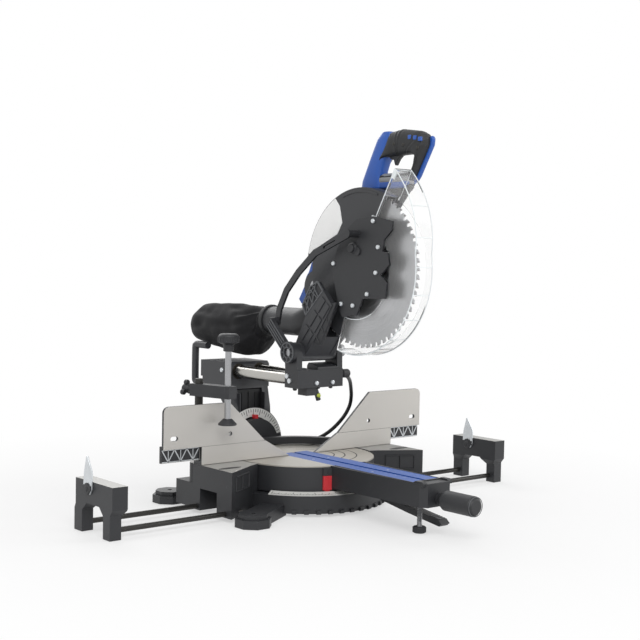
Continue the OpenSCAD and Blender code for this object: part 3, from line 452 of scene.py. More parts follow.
def smooth_line(points, count):
    """Points at even steps along a smooth curve through the given ones, and its length."""
    p = [Vector(q) for q in points]
    p = [p[0] * 2 - p[1]] + p + [p[-1] * 2 - p[-2]]
    dense = []
    for i in range(1, len(p) - 2):
        a, b, c, d = p[i - 1:i + 3]
        for k in range(24):
            t = k / 24
            bend = (2 * a - 5 * b + 4 * c - d) * t * t
            dense.append(0.5 * (2 * b + (c - a) * t + bend + (3 * b - a - 3 * c + d) * t ** 3))
    dense.append(p[-2])
    run = [0.0]
    for a, b in zip(dense, dense[1:]):
        run.append(run[-1] + (b - a).length)
    out, j = [], 0
    for k in range(count + 1):
        want = run[-1] * k / count
        while j < len(run) - 2 and run[j + 1] < want:
            j += 1
        f = (want - run[j]) / max(1e-9, run[j + 1] - run[j])
        out.append(dense[j].lerp(dense[j + 1], min(1, max(0, f))))
    return out, run[-1]


def tube(bm, line, radius, sides=16):
    """A closed tube along a line."""
    rings, up = [], UP
    for i, p in enumerate(line):
        ahead = (line[min(i + 1, len(line) - 1)] - line[max(i - 1, 0)]).normalized()
        if abs(ahead.dot(up)) < 0.95:
            up = (up - ahead * up.dot(ahead)).normalized()
        else:
            up = ahead.orthogonal().normalized()
        across = ahead.cross(up)
        turn = [2 * math.pi * k / sides for k in range(sides)]
        rings.append([bm.verts.new(p + radius * (math.cos(a) * up + math.sin(a) * across)) for a in turn])
    for a, b in zip(rings, rings[1:]):
        for k in range(sides):
            bm.faces.new((a[k], a[(k + 1) % sides], b[(k + 1) % sides], b[k]))
    bm.faces.new(list(reversed(rings[0])))
    bm.faces.new(rings[-1])


def cable_object(line, radius):
    """The cable in metres, smooth round its length and flat at its ends."""
    mesh = bpy.data.meshes.new("cable")
    bm = bmesh.new()
    tube(bm, line, radius)
    bmesh.ops.recalc_face_normals(bm, faces=bm.faces)
    for f in bm.faces:
        f.smooth = len(f.verts) == 4
    bm.to_mesh(mesh)
    bm.free()
    o = bpy.data.objects.new("cable", mesh)
    bpy.context.scene.collection.objects.link(o)
    return o


route, route_length = smooth_line([Vector(p) / 1000 for p in CABLE_ROUTE], 90)
cable = cable_object(route, CABLE_R)
cable.data.materials.append(cord_rubber)
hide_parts("head_cable")
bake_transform(cable)


# SHAPES IN MESH CODE, IN MILLIMETRES

def rectangle(a0, b0, a1, b1):
    """An outline from one corner to the opposite one."""
    return [(a0, b0), (a1, b0), (a1, b1), (a0, b1)]


def slab(bm, outline, axis, low, high):
    """A flat plate: an outline in the two other axes, between two planes of one axis."""
    def at(p, k):
        a, b = p
        return {"x": (k, a, b), "y": (a, k, b), "z": (a, b, k)}[axis]
    under = [bm.verts.new(at(p, low)) for p in outline]
    over = [bm.verts.new(at(p, high)) for p in outline]
    bm.faces.new(under)
    bm.faces.new(over)
    for i in range(len(outline)):
        j = (i + 1) % len(outline)
        bm.faces.new((under[i], under[j], over[j], over[i]))


def turned(bm, profile, at, way, sides=32):
    """A turned shape: a profile of radius and height, from a point along a direction."""
    way = Vector(way).normalized()
    u = way.orthogonal().normalized()
    v = way.cross(u)
    turn = [2 * math.pi * k / sides for k in range(sides)]
    rings = []
    for r, h in profile:
        centre = Vector(at) + way * h
        if r < 1e-6:
            rings.append([bm.verts.new(centre)])
        else:
            rings.append([bm.verts.new(centre + r * (math.cos(a) * u + math.sin(a) * v)) for a in turn])
    for a, b in zip(rings, rings[1:]):
        for k in range(sides):
            j = (k + 1) % sides
            if len(a) == 1:
                bm.faces.new((a[0], b[j], b[k]))
            elif len(b) == 1:
                bm.faces.new((a[k], a[j], b[0]))
            else:
                bm.faces.new((a[k], a[j], b[j], b[k]))
    for ring in (rings[0], rings[-1]):
        if len(ring) > 1:
            bm.faces.new(ring)


def strip(bm, p, q, width, axis, low, high):
    """A straight rib of some width between two points of the plate that it stands on."""
    p, q = Vector(p), Vector(q)
    side = Vector((p.y - q.y, q.x - p.x)).normalized() * width / 2
    slab(bm, [p + side, q + side, q - side, p - side], axis, low, high)


def loft(bm, sections, closed=False):
    """A skin over sections of equally many points, with end faces unless the run closes on itself."""
    rings = [[bm.verts.new(p) for p in section] for section in sections]
    for a, b in zip(rings, rings[1:] + rings[:1] if closed else rings[1:]):
        for k in range(len(a)):
            j = (k + 1) % len(a)
            bm.faces.new((a[k], a[j], b[j], b[k]))
    if not closed:
        bm.faces.new(rings[0])
        bm.faces.new(rings[-1])


SHARP = math.radians(35)


def mesh_from(name, bm, finish):
    """Closes a mesh in millimetres into one in metres, smooth but for its sharp edges."""
    bmesh.ops.recalc_face_normals(bm, faces=bm.faces)
    mesh = bpy.data.meshes.new(name)
    bm.to_mesh(mesh)
    bm.free()
    mesh.transform(Matrix.Scale(MM, 4))
    mesh.materials.append(finish)
    for p in mesh.polygons:
        p.use_smooth = True
    mesh.set_sharp_from_angle(angle=SHARP)
    return mesh


def place(name, mesh, body, stands_for=()):
    """Puts a mesh on its body, and hides the nodes that it stands for."""
    o = bpy.data.objects.new(name, mesh)
    bpy.context.scene.collection.objects.link(o)
    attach(o, body)
    if stands_for:
        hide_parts(*stands_for)
    return o


def piece(name, bm, finish, body, edge=0.0, stands_for=()):
    """Makes a piece of a mesh in millimetres, with its edges rounded if a radius is given."""
    o = place(name, mesh_from(name, bm, finish), body, stands_for)
    if edge:
        round_edges(o, edge)
    return o


def round_edges(o, edge):
    """Rounds an object's sharp edges by some millimetres."""
    bevel = o.modifiers.new("rounded_edges", "BEVEL")
    bevel.width = edge * MM
    bevel.segments = 2
    bevel.limit_method = "ANGLE"
    bevel.angle_limit = math.radians(32)
    bevel.use_clamp_overlap = True
    o.modifiers.new("even_shading", "WEIGHTED_NORMAL").keep_sharp = False


def soften(name, edge):
    """Joins a CAD node's loose triangles into its flat faces and rounds its edges."""
    o = nodes[name]
    o.modifiers.new("join", "WELD").merge_threshold = 0.00002
    flat = o.modifiers.new("flat_faces", "DECIMATE")
    flat.decimate_type = "DISSOLVE"
    flat.angle_limit = math.radians(0.6)
    round_edges(o, edge)


def setting_out_tree():
    """Sets an element on every vertex: Z along its facing, X along its run, at its own size."""
    tree = bpy.data.node_groups.new("setting_out", "GeometryNodeTree")
    for name, kind in (("Geometry", "Geometry"), ("Element", "Object"), ("Finish", "Material"),
                       ("Overall size", "Float")):
        tree.interface.new_socket(name, in_out="INPUT", socket_type="NodeSocket" + kind)
    tree.interface.new_socket("Geometry", in_out="OUTPUT", socket_type="NodeSocketGeometry")
    given = add(tree, "NodeGroupInput").outputs
    facing, run, size = [add(tree, "GeometryNodeInputNamedAttribute", {"Name": key}, data_type="FLOAT_VECTOR")
                         .outputs["Attribute"] for key in ("facing", "run", "size")]
    turn = add(tree, "FunctionNodeAxesToRotation", {0: facing, 1: run}, primary_axis="Z", secondary_axis="X")
    scale = add(tree, "ShaderNodeVectorMath", {0: size, "Scale": given["Overall size"]}, operation="SCALE")
    element = add(tree, "GeometryNodeObjectInfo", {"Object": given["Element"]})
    seats = add(tree, "GeometryNodeInstanceOnPoints",
                {"Points": given["Geometry"], "Instance": element.outputs["Geometry"],
                 "Rotation": turn.outputs[0], "Scale": scale.outputs["Vector"]})
    whole = add(tree, "GeometryNodeRealizeInstances", {"Geometry": seats.outputs["Instances"]})
    coated = add(tree, "GeometryNodeSetMaterial",
                 {"Geometry": whole.outputs["Geometry"], "Material": given["Finish"]})
    add(tree, "NodeGroupOutput", {"Geometry": coated.outputs["Geometry"]})
    return tree


SETTING_OUT = setting_out_tree()


def set_out(name, element_bm, seats, finish, body):
    """Repeats an element at seats of (point, facing, run, size) and turns the result into one plain piece."""
    scene = bpy.context.scene
    element = bpy.data.objects.new(name + "_element", mesh_from(name + "_element", element_bm, finish))
    scene.collection.objects.link(element)
    mesh = bpy.data.meshes.new(name + "_seats")
    mesh.from_pydata([Vector(s[0]) * MM for s in seats], [], [])
    for index, key in ((1, "facing"), (2, "run"), (3, "size")):
        data = mesh.attributes.new(key, "FLOAT_VECTOR", "POINT").data
        for d, s in zip(data, seats):
            d.vector = s[index] if index < len(s) else (1, 1, 1)
    holder = bpy.data.objects.new(name + "_seats", mesh)
    scene.collection.objects.link(holder)
    mod = holder.modifiers.new("setting_out", "NODES")
    mod.node_group = SETTING_OUT
    ids = {i.name: i.identifier for i in SETTING_OUT.interface.items_tree if i.in_out == "INPUT"}
    mod[ids["Element"]] = element
    mod[ids["Finish"]] = finish
    mod[ids["Overall size"]] = 1.0
    bpy.context.view_layer.update()
    graph = bpy.context.evaluated_depsgraph_get()
    made = bpy.data.meshes.new_from_object(holder.evaluated_get(graph))
    made.name = name
    for o in (holder, element):
        bpy.data.objects.remove(o)
    made.set_sharp_from_angle(angle=SHARP)
    return place(name, made, body)


def on_circle(centre, axis, radius, angles):
    """Seats round an axis: each faces outward and runs round the circle."""
    u, v = {"x": (BACK, UP), "z": (RIGHT, BACK)}[axis]
    seats = []
    for a in angles:
        out = u * cosd(a) + v * sind(a)
        seats.append((Vector(centre) + out * radius, out, v * cosd(a) - u * sind(a)))
    return seats


def pan_head(radius=4.4, height=2.8):
    """A pan head screw with a hexagon socket."""
    bm = bmesh.new()
    profile = [(1, -1), (1, height * 0.45), (0.86, height * 0.85), (0.55, height)]
    turned(bm, [(radius * r, h) for r, h in profile], (0, 0, 0), UP, 20)
    socket = [(radius * 0.42 * cosd(a), radius * 0.42 * sind(a)) for a in range(0, 360, 60)]
    slab(bm, socket, "z", height - 0.1, height + 0.25)
    return bm


def rib(length, width, height, sink=0.6):
    """A rib with a rounded back, lying along X."""
    bm = bmesh.new()
    w = width / 2
    slab(bm, [(-w, -sink), (w, -sink), (w, height * 0.5), (w * 0.55, height), (-w * 0.55, height),
              (-w, height * 0.5)], "x", -length / 2, length / 2)
    return bm


def hoop(radius, wire, sides):
    """A ring of round wire about Z."""
    bm = bmesh.new()
    sections = []
    for k in range(sides):
        a = 2 * math.pi * k / sides
        out = Vector((math.cos(a), math.sin(a), 0))
        sections.append([out * (radius + wire * math.cos(b)) + UP * wire * math.sin(b)
                         for b in (2 * math.pi * j / 8 for j in range(8))])
    loft(bm, sections, closed=True)
    return bm


# SOFTENED EDGES OF THE CAD PIECES

SOFT_EDGES = {
    "base": 3.0, "turntable": 3.5, "bevel_arm": 4.0, "carriage": 5.0, "head_arm": 2.5, "link_bracket": 2.0,
    "left_support": 4.0, "right_support": 4.0, "clamp_arm": 3.0, "upper_guard": 1.2, "belt_case": 3.0,
    "motor_case": 2.5, "lock_grip": 2.0, "detent_lever": 2.5, "fence": 0.8, "left_sliding_fence": 0.8,
    "right_sliding_fence": 0.8, "laser_unit": 2.0, "guard_carrier": 1.0, "guard_link": 1.4,
    "kerf_plates": 0.6, "dust_chute": 2.0, "left_stop_flag": 0.6, "right_stop_flag": 0.6, "clamp_knob": 1.5,
    "clamp_pad": 0.8, "bevel_lever": 2.0, "lock_pin": 1.0, "cable_gland": 0.5, "blade": 0.2, "flanges": 0.8,
    "clamp_post": 1.0, "turntable_top": 0.4,
}
for name, edge in SOFT_EDGES.items():
    soften(name, edge)


# PLACES TAKEN FROM THE CAD, IN MILLIMETRES

def middle(node):
    """The middle of a node's box."""
    near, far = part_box(node)
    return (near + far) * 500


def side_view(v):
    """A point as it lies in the side view: its Y and Z."""
    return Vector((v.y, v.z))


def beside(centre, radius, angle):
    """A point of the side view, at a radius from a centre and an angle up from the back."""
    return centre.y + radius * cosd(angle), centre.z + radius * sind(angle)


low = {name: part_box(name)[0] * 1000 for name in nodes}
high = {name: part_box(name)[1] * 1000 for name in nodes}
hub = middle("blade")
motor = middle("motor_case")
hinge = middle("hinge_pin")
rod = middle("clamp_screw")
stud = middle("levelling_stud")
grip = middle("lock_grip")
# along the belt from the blade to the motor, and square to it
belt_run = (side_view(motor) - side_view(hub)).normalized()
belt_side = Vector((-belt_run.y, belt_run.x))


# GUARDS AND NECK

# heads of the guard carrier's screws, on the plate's bosses
CARRIER_BOSS_X = -28.4
CARRIER_SCREWS = [(-55, 91), (-70, 42), (-65, -6), (57, 10), (32, -68), (-2, -70), (-42, -47)]
seats = [((CARRIER_BOSS_X, hub.y + y, hub.z + z), LEFT, UP) for y, z in CARRIER_SCREWS]
set_out("carrier_screws", pan_head(), seats, steel_zinc, "lower_guard")

bm = bmesh.new()
turned(bm, [(11, -1), (11, 2.5), (8.5, 4), (8.5, 8), (7.2, 9), (0, 9)], (-27, hub.y + 1, hub.z + 40), LEFT)
piece("spindle_cap", bm, nylon_black, "lower_guard", 0.4)

# light panel at the rear of the upper guard, and the raised rim at its top
PANEL_INSIDE = [(133, 10), (130, 19), (94, 46), (103, 60), (136, 64)]
bm = bmesh.new()
outline = [beside(hub, 155.5, a) for a in range(62, 8, -3)] + [beside(hub, r, a) for r, a in PANEL_INSIDE]
slab(bm, outline, "x", -12.9, -11.5)
piece("guard_panel", bm, panel_white, "head", 0.3)
bm = bmesh.new()
rim = range(70, 112, 3)
outline = [beside(hub, 152, a) for a in rim] + [beside(hub, 147.5, a) for a in reversed(rim)]
slab(bm, outline, "x", -13.4, -11.5)
piece("guard_rim", bm, guard_coat, "head", 0.4)


def clear_edge(x, radius, angle):
    """A point of the clear guard, at an angle up from the front."""
    return Vector((x, hub.y - radius * cosd(angle), hub.z + radius * sind(angle)))


def clear_radius(angle):
    """The clear guard's outer radius, which grows above 10 degrees."""
    return 166 + max(0, angle - 10) * 0.95


# inner radius of the near wall, and of the far one, which is only a rim
NEAR_INNER, FAR_INNER = 97, 151
CLEAR_LOW, CLEAR_TOP = -106, 60.6
near, far = low["lower_guard"].x + 0.4, high["lower_guard"].x - 0.4
# moulded beads along the clear guard's edges, opaque and near white: a painted highlight for the light that
# the clear edges catch
bm = bmesh.new()
for x, inner in ((near, NEAR_INNER), (far, FAR_INNER)):
    tube(bm, [clear_edge(x, clear_radius(a) - 0.6, a) for a in range(CLEAR_LOW, 62)], 1.1, 8)
    tube(bm, [clear_edge(x, r, CLEAR_TOP) for r in (inner, 180, clear_radius(60) - 2)], 1.0, 8)
    tube(bm, [clear_edge(x, inner, a) for a in range(CLEAR_LOW, -60)], 0.9, 8)
for a in (*range(CLEAR_LOW, 56, 18), 60):
    tube(bm, [clear_edge(x, clear_radius(a) - 0.6, a) for x in (near, 0, far)], 0.8, 8)
for r0, r1, a0, a1 in ((96, 112, 59.5, 66), (196, 213, 58.5, 61)):
    tab = [side_view(clear_edge(0, r, a)) for r, a in rectangle(r0, a0, r1, a1)]
    slab(bm, tab, "x", near - 0.8, near + 3.1)
piece("guard_beads", bm, edge_glint_paint, "lower_guard")

# web with a lattice of ribs behind the neck, in paler nylon: a painted highlight on their raised edges
WEB = [(-52, 384), (-103, 434), (-86, 452), (-64, 441), (-41, 404)]
WEB_RIBS = [((-52, 384), (-64, 441)), ((-41, 404), (-86, 452)), ((-62, 394), (-46, 417)),
            ((-74, 406), (-56, 430)), ((-90, 421), (-70, 446)), ((-70, 402), (-80, 449)),
            ((-88, 419), (-60, 437))]
bm = bmesh.new()
slab(bm, [(-60, 376), (-110, 426), *WEB[1:]], "x", -38, -30)
piece("neck_web", bm, nylon_black, "head", 0.8)
bm = bmesh.new()
for p, q in zip(WEB, WEB[1:] + WEB[:1]):
    strip(bm, p, q, 2.6, "x", -41, -37.5)
for p, q in WEB_RIBS:
    strip(bm, p, q, 2.0, "x", -40.6, -37.5)
piece("neck_lattice", bm, highlight_rib_nylon, "head", 0.3)

# raised panels of the neck's side plate, with dark grooves left between them
neck_u = (side_view(hub) - side_view(hinge)).normalized()
neck_v = Vector((-neck_u.y, neck_u.x))


def neck(t, n):
    """A point of the neck's side, t up from the hinge towards the blade's axis and n behind that line."""
    return side_view(hinge) + neck_u * t + neck_v * n


bm = bmesh.new()
for t0, t1 in ((24, 58), (62, 96), (100, 132)):
    slab(bm, [neck(t0, 10), neck(t1, 9), neck(t1, -4), neck(t0, -4)], "x", -42, -39)
    slab(bm, [neck(t0, -8), neck(t1, -8), neck(t1, -22), neck(t0 + 2, -18)], "x", -42, -39)
piece("neck_panels", bm, cast_graphite, "head", 0.9)
bm = bmesh.new()
web = [neck(42, 15), neck(54, 36), neck(113, 25), neck(150, 16), neck(138, 6), neck(60, 10)]
slab(bm, web, "x", -38.6, -30)
for t, n in ((60, 32), (84, 28), (108, 22)):
    strip(bm, neck(t, 13), neck(t - 3, n), 2.4, "x", -40.6, -38)
piece("neck_web_front", bm, nylon_black, "head", 1.2)

# spoked boss and ribs of the link's bracket
BRACKET_FOOT = Vector((28, 366))
side = low["link_bracket"].x
bm = bmesh.new()
for radius, width in ((19.5, 2.4), (10.5, 1.8)):
    ring = [beside(hinge, radius, a) for a in range(0, 360, 12)]
    for p, q in zip(ring, ring[1:] + ring[:1]):
        strip(bm, p, q, width, "x", side - 2.2, side + 0.5)
for a in range(0, 360, 45):
    strip(bm, beside(hinge, 10, a), beside(hinge, 19, a), 1.8, "x", side - 1.8, side + 0.5)
along = (BRACKET_FOOT - side_view(hinge)).normalized()
across = Vector((-along.y, along.x))
for n in (-9, -3, 3, 9):
    start = side_view(hinge) + along * 23 + across * n
    strip(bm, start, BRACKET_FOOT + across * n, 1.8, "x", side - 1.8, side + 0.5)
# the ribs' paler nylon is a painted highlight on their raised edges
piece("bracket_ribs", bm, highlight_rib_nylon, "carriage", 0.3)


# HANDLE

LOOP = [(-178, 646), (-176, 662), (-208, 734), (-214, 741.5), (-245, 745), (-288, 739), (-302, 733),
        (-306, 722), (-305, 711), (-272, 655), (-262, 646)]
HOLE = [(-184, 664), (-184, 674), (-192, 690), (-200, 694), (-268, 697), (-281, 692), (-270, 668),
        (-260, 662), (-190, 660)]
LOOP_AT = Vector((-232, 678))
LOOP_X = 40
LOOP_STEPS = 240


def ray(outline, way):
    """How far an outline lies from the middle of the hand hole in one direction."""
    for p, q in zip(outline, outline[1:] + outline[:1]):
        p, q = Vector(p) - LOOP_AT, Vector(q) - LOOP_AT
        turn = way.x * (q.y - p.y) - way.y * (q.x - p.x)
        if abs(turn) > 1e-9:
            along = (p.x * (q.y - p.y) - p.y * (q.x - p.x)) / turn
            share = (p.x * way.y - p.y * way.x) / turn
            if along > 0 and -1e-6 <= share <= 1 + 1e-6:
                return along
    return 0.0


def squarish(count, power):
    """Points of a squarish oval of half width 1."""
    turns = [2 * math.pi * j / count for j in range(count)]
    return [tuple(math.copysign(abs(v) ** (2 / power), v) for v in (math.cos(a), math.sin(a))) for a in turns]


def grip_section(k):
    """One section of the grip's loop, with fine ridges at both ends of its bar."""
    turn = 360 * k / LOOP_STEPS
    a = 2 * math.pi * k / LOOP_STEPS
    way = Vector((math.cos(a), math.sin(a)))
    inner, outer = ray(HOLE, way), ray(LOOP, way)
    ridge = 0.5 * math.cos(math.pi * k / 3) if 88 < turn < 106 or 136 < turn < 148 else 0.0
    half, centre = (outer - inner) / 2 + ridge, (outer + inner) / 2
    bar = min(1.0, max(0.0, (way.y + 0.1) / 0.5))
    wide = 12 + 6 * bar * bar * (3 - 2 * bar) + ridge
    return [(LOOP_X + wide * u, *(LOOP_AT + way * (centre + half * v))) for u, v in squarish(24, 2.7)]


bm = bmesh.new()
loft(bm, [grip_section(k) for k in range(LOOP_STEPS)], closed=True)
piece("handle_loop", bm, rubber_black, "head", 0.0, ("handle_grip",))

# blue shell: a swelling upright behind the hand, a foot under it, a thin band in front and a stem below
# the upright's sections: height, rear and front
UPRIGHT = [(634, -132, -190), (650, -135, -189), (668, -145, -190), (690, -156, -199), (712, -168, -208),
           (728, -177, -213), (738, -184, -215), (743, -191, -212)]
BAND = [(-312, 724), (-310, 711), (-277, 654), (-269, 645), (-254, 636), (-246, 640), (-262, 650),
        (-300, 713), (-300, 726), (-307, 730)]
sections = []
for z, back_y, front_y in UPRIGHT:
    half, at = (back_y - front_y) / 2, (back_y + front_y) / 2
    wide = 16 if z < 735 else 12
    sections.append([(38.5 + wide * u, at + half * v, z) for u, v in squarish(32, 3.0)])
bm = bmesh.new()
loft(bm, sections)
slab(bm, [(-136, 634), (-254, 634), (-264, 640), (-264, 647), (-140, 648)], "x", 28, 52)
slab(bm, BAND, "x", 45, 54)
piece("handle_blue", bm, abs_blue, "head", 3.0, ("handle_shell",))
bm = bmesh.new()
stem_foot = [side_view(hub) + belt_run * t + belt_side * n for t, n in ((20, 37), (110, 40))]
slab(bm, [(-134, 640), (-266, 640), *stem_foot], "x", 32, 50)
piece("handle_stem", bm, nylon_black, "head", 3.0)
TRIGGER = [(-236, 704), (-236, 694), (-229, 689), (-221, 677), (-217, 688), (-206, 691), (-206, 704)]
bm = bmesh.new()
slab(bm, TRIGGER, "x", 35, 45)
piece("trigger_blade", bm, nylon_black, "trigger", 1.6, ("trigger",))
shell = low["handle_grip"].x
bm = bmesh.new()
for y, z in ((-272, 727), (-286, 725), (-299, 722)):
    slab(bm, rectangle(y - 4, z - 4, y + 4, z + 4), "x", shell - 0.6, shell + 5)
piece("grip_badges", bm, abs_blue, "head", 1.2)
GRIP_SCREWS = [(-230, 717), (-256, 714), (-294, 706)]
set_out("grip_screws", pan_head(3.6, 1.6), [((shell + 0.6, y, z), LEFT, UP) for y, z in GRIP_SCREWS],
        steel_black, "head")
bm = bmesh.new()
tube(bm, [Vector((LOOP_X, y, z)) for y, z in ((-264, 652), (-230, 651), (-184, 651))], 12.6, 24)
piece("hand_hole_bar", bm, nylon_pale, "head", 1.2)


# CARRIAGE, ARM AND RAILS

bm = bmesh.new()
slab(bm, [(-55, 270), (-55, 279), (-40, 284.5), (-24, 286.5), (-19, 280), (-19, 270)], "x", -8, 44)
slab(bm, [(-54, 270), (-54, 275), (-50, 278), (-24, 278), (-19, 275), (-19, 270)], "x", -48, -34)
piece("carriage_bridge", bm, cast_black, "carriage", 1.6)
set_out("carriage_screws", pan_head(4.6, 3.0), [((x, -56, 247), FRONT, UP) for x in (-12, 30)],
        steel_zinc, "carriage")
STUDS = [(-50, -34), (14, -30), (44, -34)]
set_out("carriage_studs", pan_head(4.5, 6.0), [((x, y, 238), DOWN, RIGHT) for x, y in STUDS],
        nylon_black, "carriage")
# half width of the rail housing, which is narrower than the arm's hub
HOUSING_X = 54
set_out("arm_screws", pan_head(5.2, 3.0), [((way.x * HOUSING_X, 212, 254), way, UP) for way in (LEFT, RIGHT)],
        steel_zinc, "arm")
bm = bmesh.new()
turned(bm, [(4.2, -4), (4.2, 0.8), (3.2, 1.4), (0, 1.8)], (-1.5, -51, 221), (-0.55, -0.78, -0.3), 20)
piece("laser_lens", bm, lens_green, "carriage")
rear, ends = low["rear_bracket"].y, high["rails"].y
HOOK = [(ends - 7, 240), (ends - 7, 226), (ends - 5, 220), (ends + 1, 217.5), (340, 217.5), (346, 219.5),
        (349, 226), (349, 292), (346, 299), (340, 301), (ends - 4, 301)]
bm = bmesh.new()
slab(bm, rectangle(rear, 234, ends, 270), "x", -46, 46)
tube(bm, smooth_line([(-30, y, z) for y, z in HOOK], 60)[0], 8.0, 20)
piece("rear_hook", bm, cast_graphite, "carriage", 2.0, ("rear_bracket",))
bm = bmesh.new()
for x in (low["rails"].x + 14, high["rails"].x - 14):
    turned(bm, [(10.5, -4), (10.5, 2), (9, 3.4), (0, 3.4)], (x, ends, 252), BACK)
piece("rail_caps", bm, nylon_black, "carriage", 0.5)
set_out("rear_bolts", pan_head(5.0, 3.5), [((x, ends, z), BACK, UP) for x in (0, 12) for z in (241, 263)],
        steel_black, "carriage")
arm_front = low["bevel_arm"].y
bm = bmesh.new()
for x in (-33, 33):
    slab(bm, rectangle(x - 1.5, 150, x + 1.5, 205), "y", arm_front + 1, arm_front + 14)
piece("arm_recess_lips", bm, cast_graphite, "arm", 0.5)
# a near black sheet with three ribs at the back of the arm's recess: painted shade for the deep recess
bm = bmesh.new()
slab(bm, rectangle(-32, 144, 32, 212), "y", arm_front + 17, arm_front + 21)
for x in (-18, 0, 18):
    strip(bm, (x, 150), (x, 206), 2.4, "y", arm_front + 15, arm_front + 18)
piece("arm_recess_panel", bm, ink_and_recess_shade, "arm", 1.5)


# SCALES

def mark_element(width, height):
    """A mark of length 1 along X, let into the face that it is printed on."""
    bm = bmesh.new()
    slab(bm, rectangle(-width / 2, -0.3, width / 2, height), "x", -0.5, 0.5)
    return bm


def from_front(angle):
    """The direction at an angle from the front, to the right."""
    return Vector((sind(angle), -cosd(angle), 0))


# the mitre scale slopes outward from its upper edge to its lower one: radius and height of both
STRIP_TOP, STRIP_LOW, STRIP_UNDER = Vector((153, 46)), Vector((167, 41.6)), 40
fall = (STRIP_LOW - STRIP_TOP).normalized()
profile = (STRIP_TOP, STRIP_LOW, (STRIP_LOW.x, STRIP_UNDER), (STRIP_TOP.x, STRIP_UNDER))
bm = bmesh.new()
loft(bm, [[from_front(a) * r + UP * z for r, z in profile] for a in range(-62, 63, 2)])
piece("scale_strip", bm, scale_white, "base", 0.0, ("mitre_scale",))
marks = []
for a in range(-60, 61):
    length = 9.0 if a % 15 == 0 else 6.5 if a % 5 == 0 else 3.5
    out = from_front(a)
    run = out * fall.x + UP * fall.y
    at = out * STRIP_LOW.x + UP * STRIP_LOW.y - run * (1 + length / 2)
    marks.append((at, UP * fall.x - out * fall.y, run, (length, 1.0, 1.0)))
set_out("mitre_marks", mark_element(0.9, 0.15), marks, ink_and_recess_shade, "base")
axis = Vector((0, low["bevel_scale"].y, TABLE_Z))
marks = []
for a in range(-70, 71, 5):
    length = 12.0 if a % 15 == 0 else 7.0
    out = Vector((sind(a), 0, cosd(a)))
    marks.append((out * (75.5 - length / 2) + axis, FRONT, out, (length, 1.2, 1.0)))
set_out("bevel_marks", mark_element(1.0, 0.2), marks, ink_and_recess_shade, "arm")

# the mitre pointer stands 20 degrees off the table's arm: a black cap over a red face
POINTER_TURN = Matrix.Rotation(math.radians(-20), 3, "Z")
for name, reach, z0, z1, finish, slot in (("pointer_cap", 151.5, 76, 91, nylon_black, "black_plastic"),
                                          ("pointer_face", 151.8, 48, 76, abs_red, "red_plastic")):
    bm = bmesh.new()
    slab(bm, rectangle(-9, -reach, 9, -146), "z", z0, z1)
    strip(bm, (0, z0 + 3), (0, z1 - 3), 2.0, "y", -reach - 0.6, -reach + 1)
    strip(bm, (-7, z0 + 2), (7, z0 + 2), 1.6, "y", -reach - 0.6, -reach + 1)
    bmesh.ops.rotate(bm, cent=(0, 0, 0), matrix=POINTER_TURN, verts=bm.verts)
    piece(name, bm, finish, "turntable", 0.5)


# TABLE, RING AND STUD

set_out("ring_lugs", rib(9.0, 8.0, 4.2, 1.5), on_circle((0, 0, 9), "z", 170, range(226, 318, 8)),
        cast_black, "base")
nose = low["turntable"].y
cover = [(-30, nose + 1), (30, nose + 1), (36, nose + 9), (36, nose + 30), (-36, nose + 30), (-36, nose + 9)]
bm = bmesh.new()
slab(bm, cover, "z", TABLE_Z - 0.6, TABLE_Z + 0.6)
cheek = [(nose + 3, 90), (nose + 30, 90), (nose + 30, 95.8), (nose + 24, 99), (nose + 8, 99), (nose + 3, 96)]
for x in (-37, 27):
    slab(bm, cheek, "x", x, x + 10)
slab(bm, rectangle(-30, 92, 30, 97.5), "y", nose + 25, nose + 30)
piece("nose_cover", bm, cast_black, "turntable", 1.0)
bm = bmesh.new()
for x in (-36.6, 36.6):
    slab(bm, rectangle(x - 0.9, nose + 30, x + 0.9, -146), "z", TABLE_Z - 0.8, TABLE_Z + 0.7)
piece("kerf_borders", bm, steel_black, "turntable")

STUD_FOOT_H, THREAD_PITCH = 11, 1.4
stud_foot = (stud.x, stud.y, 0)
tip = high["levelling_stud"].z
bm = bmesh.new()
turned(bm, [(10.5, 0), (12, 1.5), (12, 10.5), (10.5, 12), (0, 12)], stud_foot, UP, 12)
piece("stud_foot", bm, nylon_black, "levelling_stud", 0.4, ("levelling_stud",))
grooves = [(5.0 if k % 2 else 3.9, STUD_FOOT_H + THREAD_PITCH * k)
           for k in range(int((tip - STUD_FOOT_H) / THREAD_PITCH))]
bm = bmesh.new()
turned(bm, [(0, STUD_FOOT_H), *grooves, (3.9, tip), (0, tip)], stud_foot, UP, 24)
piece("stud_thread", bm, steel_turned, "levelling_stud")
seats = on_circle((stud.x, stud.y, 6), "z", 11.6, range(0, 360, 15))
set_out("stud_knurl", rib(9.0, 1.8, 1.0, 0.8), [(p, f, UP) for p, f, _ in seats],
        nylon_black, "levelling_stud")

grip_end, grip_side = low["lock_grip"].y, high["lock_grip"].x
GRIP_RIMS = [(grip_end + 2.5, grip_side - 1.2), (grip_end + 34, grip_side - 1.0)]
seats = [((grip.x, y, grip.z), FRONT, RIGHT, (r, r, r)) for y, r in GRIP_RIMS]
# rims and ridges in paler nylon: a painted highlight on their raised edges
set_out("grip_rims", hoop(1.0, 0.04, 40), seats, highlight_rib_nylon, "lock_grip")
LEVER_RIDGES = [(-380, 25.6), (-374, 26.4), (-368, 27.3), (-362, 28.1)]
set_out("lever_ridges", rib(18.0, 2.6, 1.4, 0.8),
        [((19, y, z), Vector((0, -0.14, 1)), RIGHT) for y, z in LEVER_RIDGES],
        highlight_rib_nylon, "detent_lever")


# WINGS, FENCE GUIDES AND STOP FLAGS

GUIDE_LOW, GUIDE_HIGH, GUIDE_BAYS = 107, 130, 6


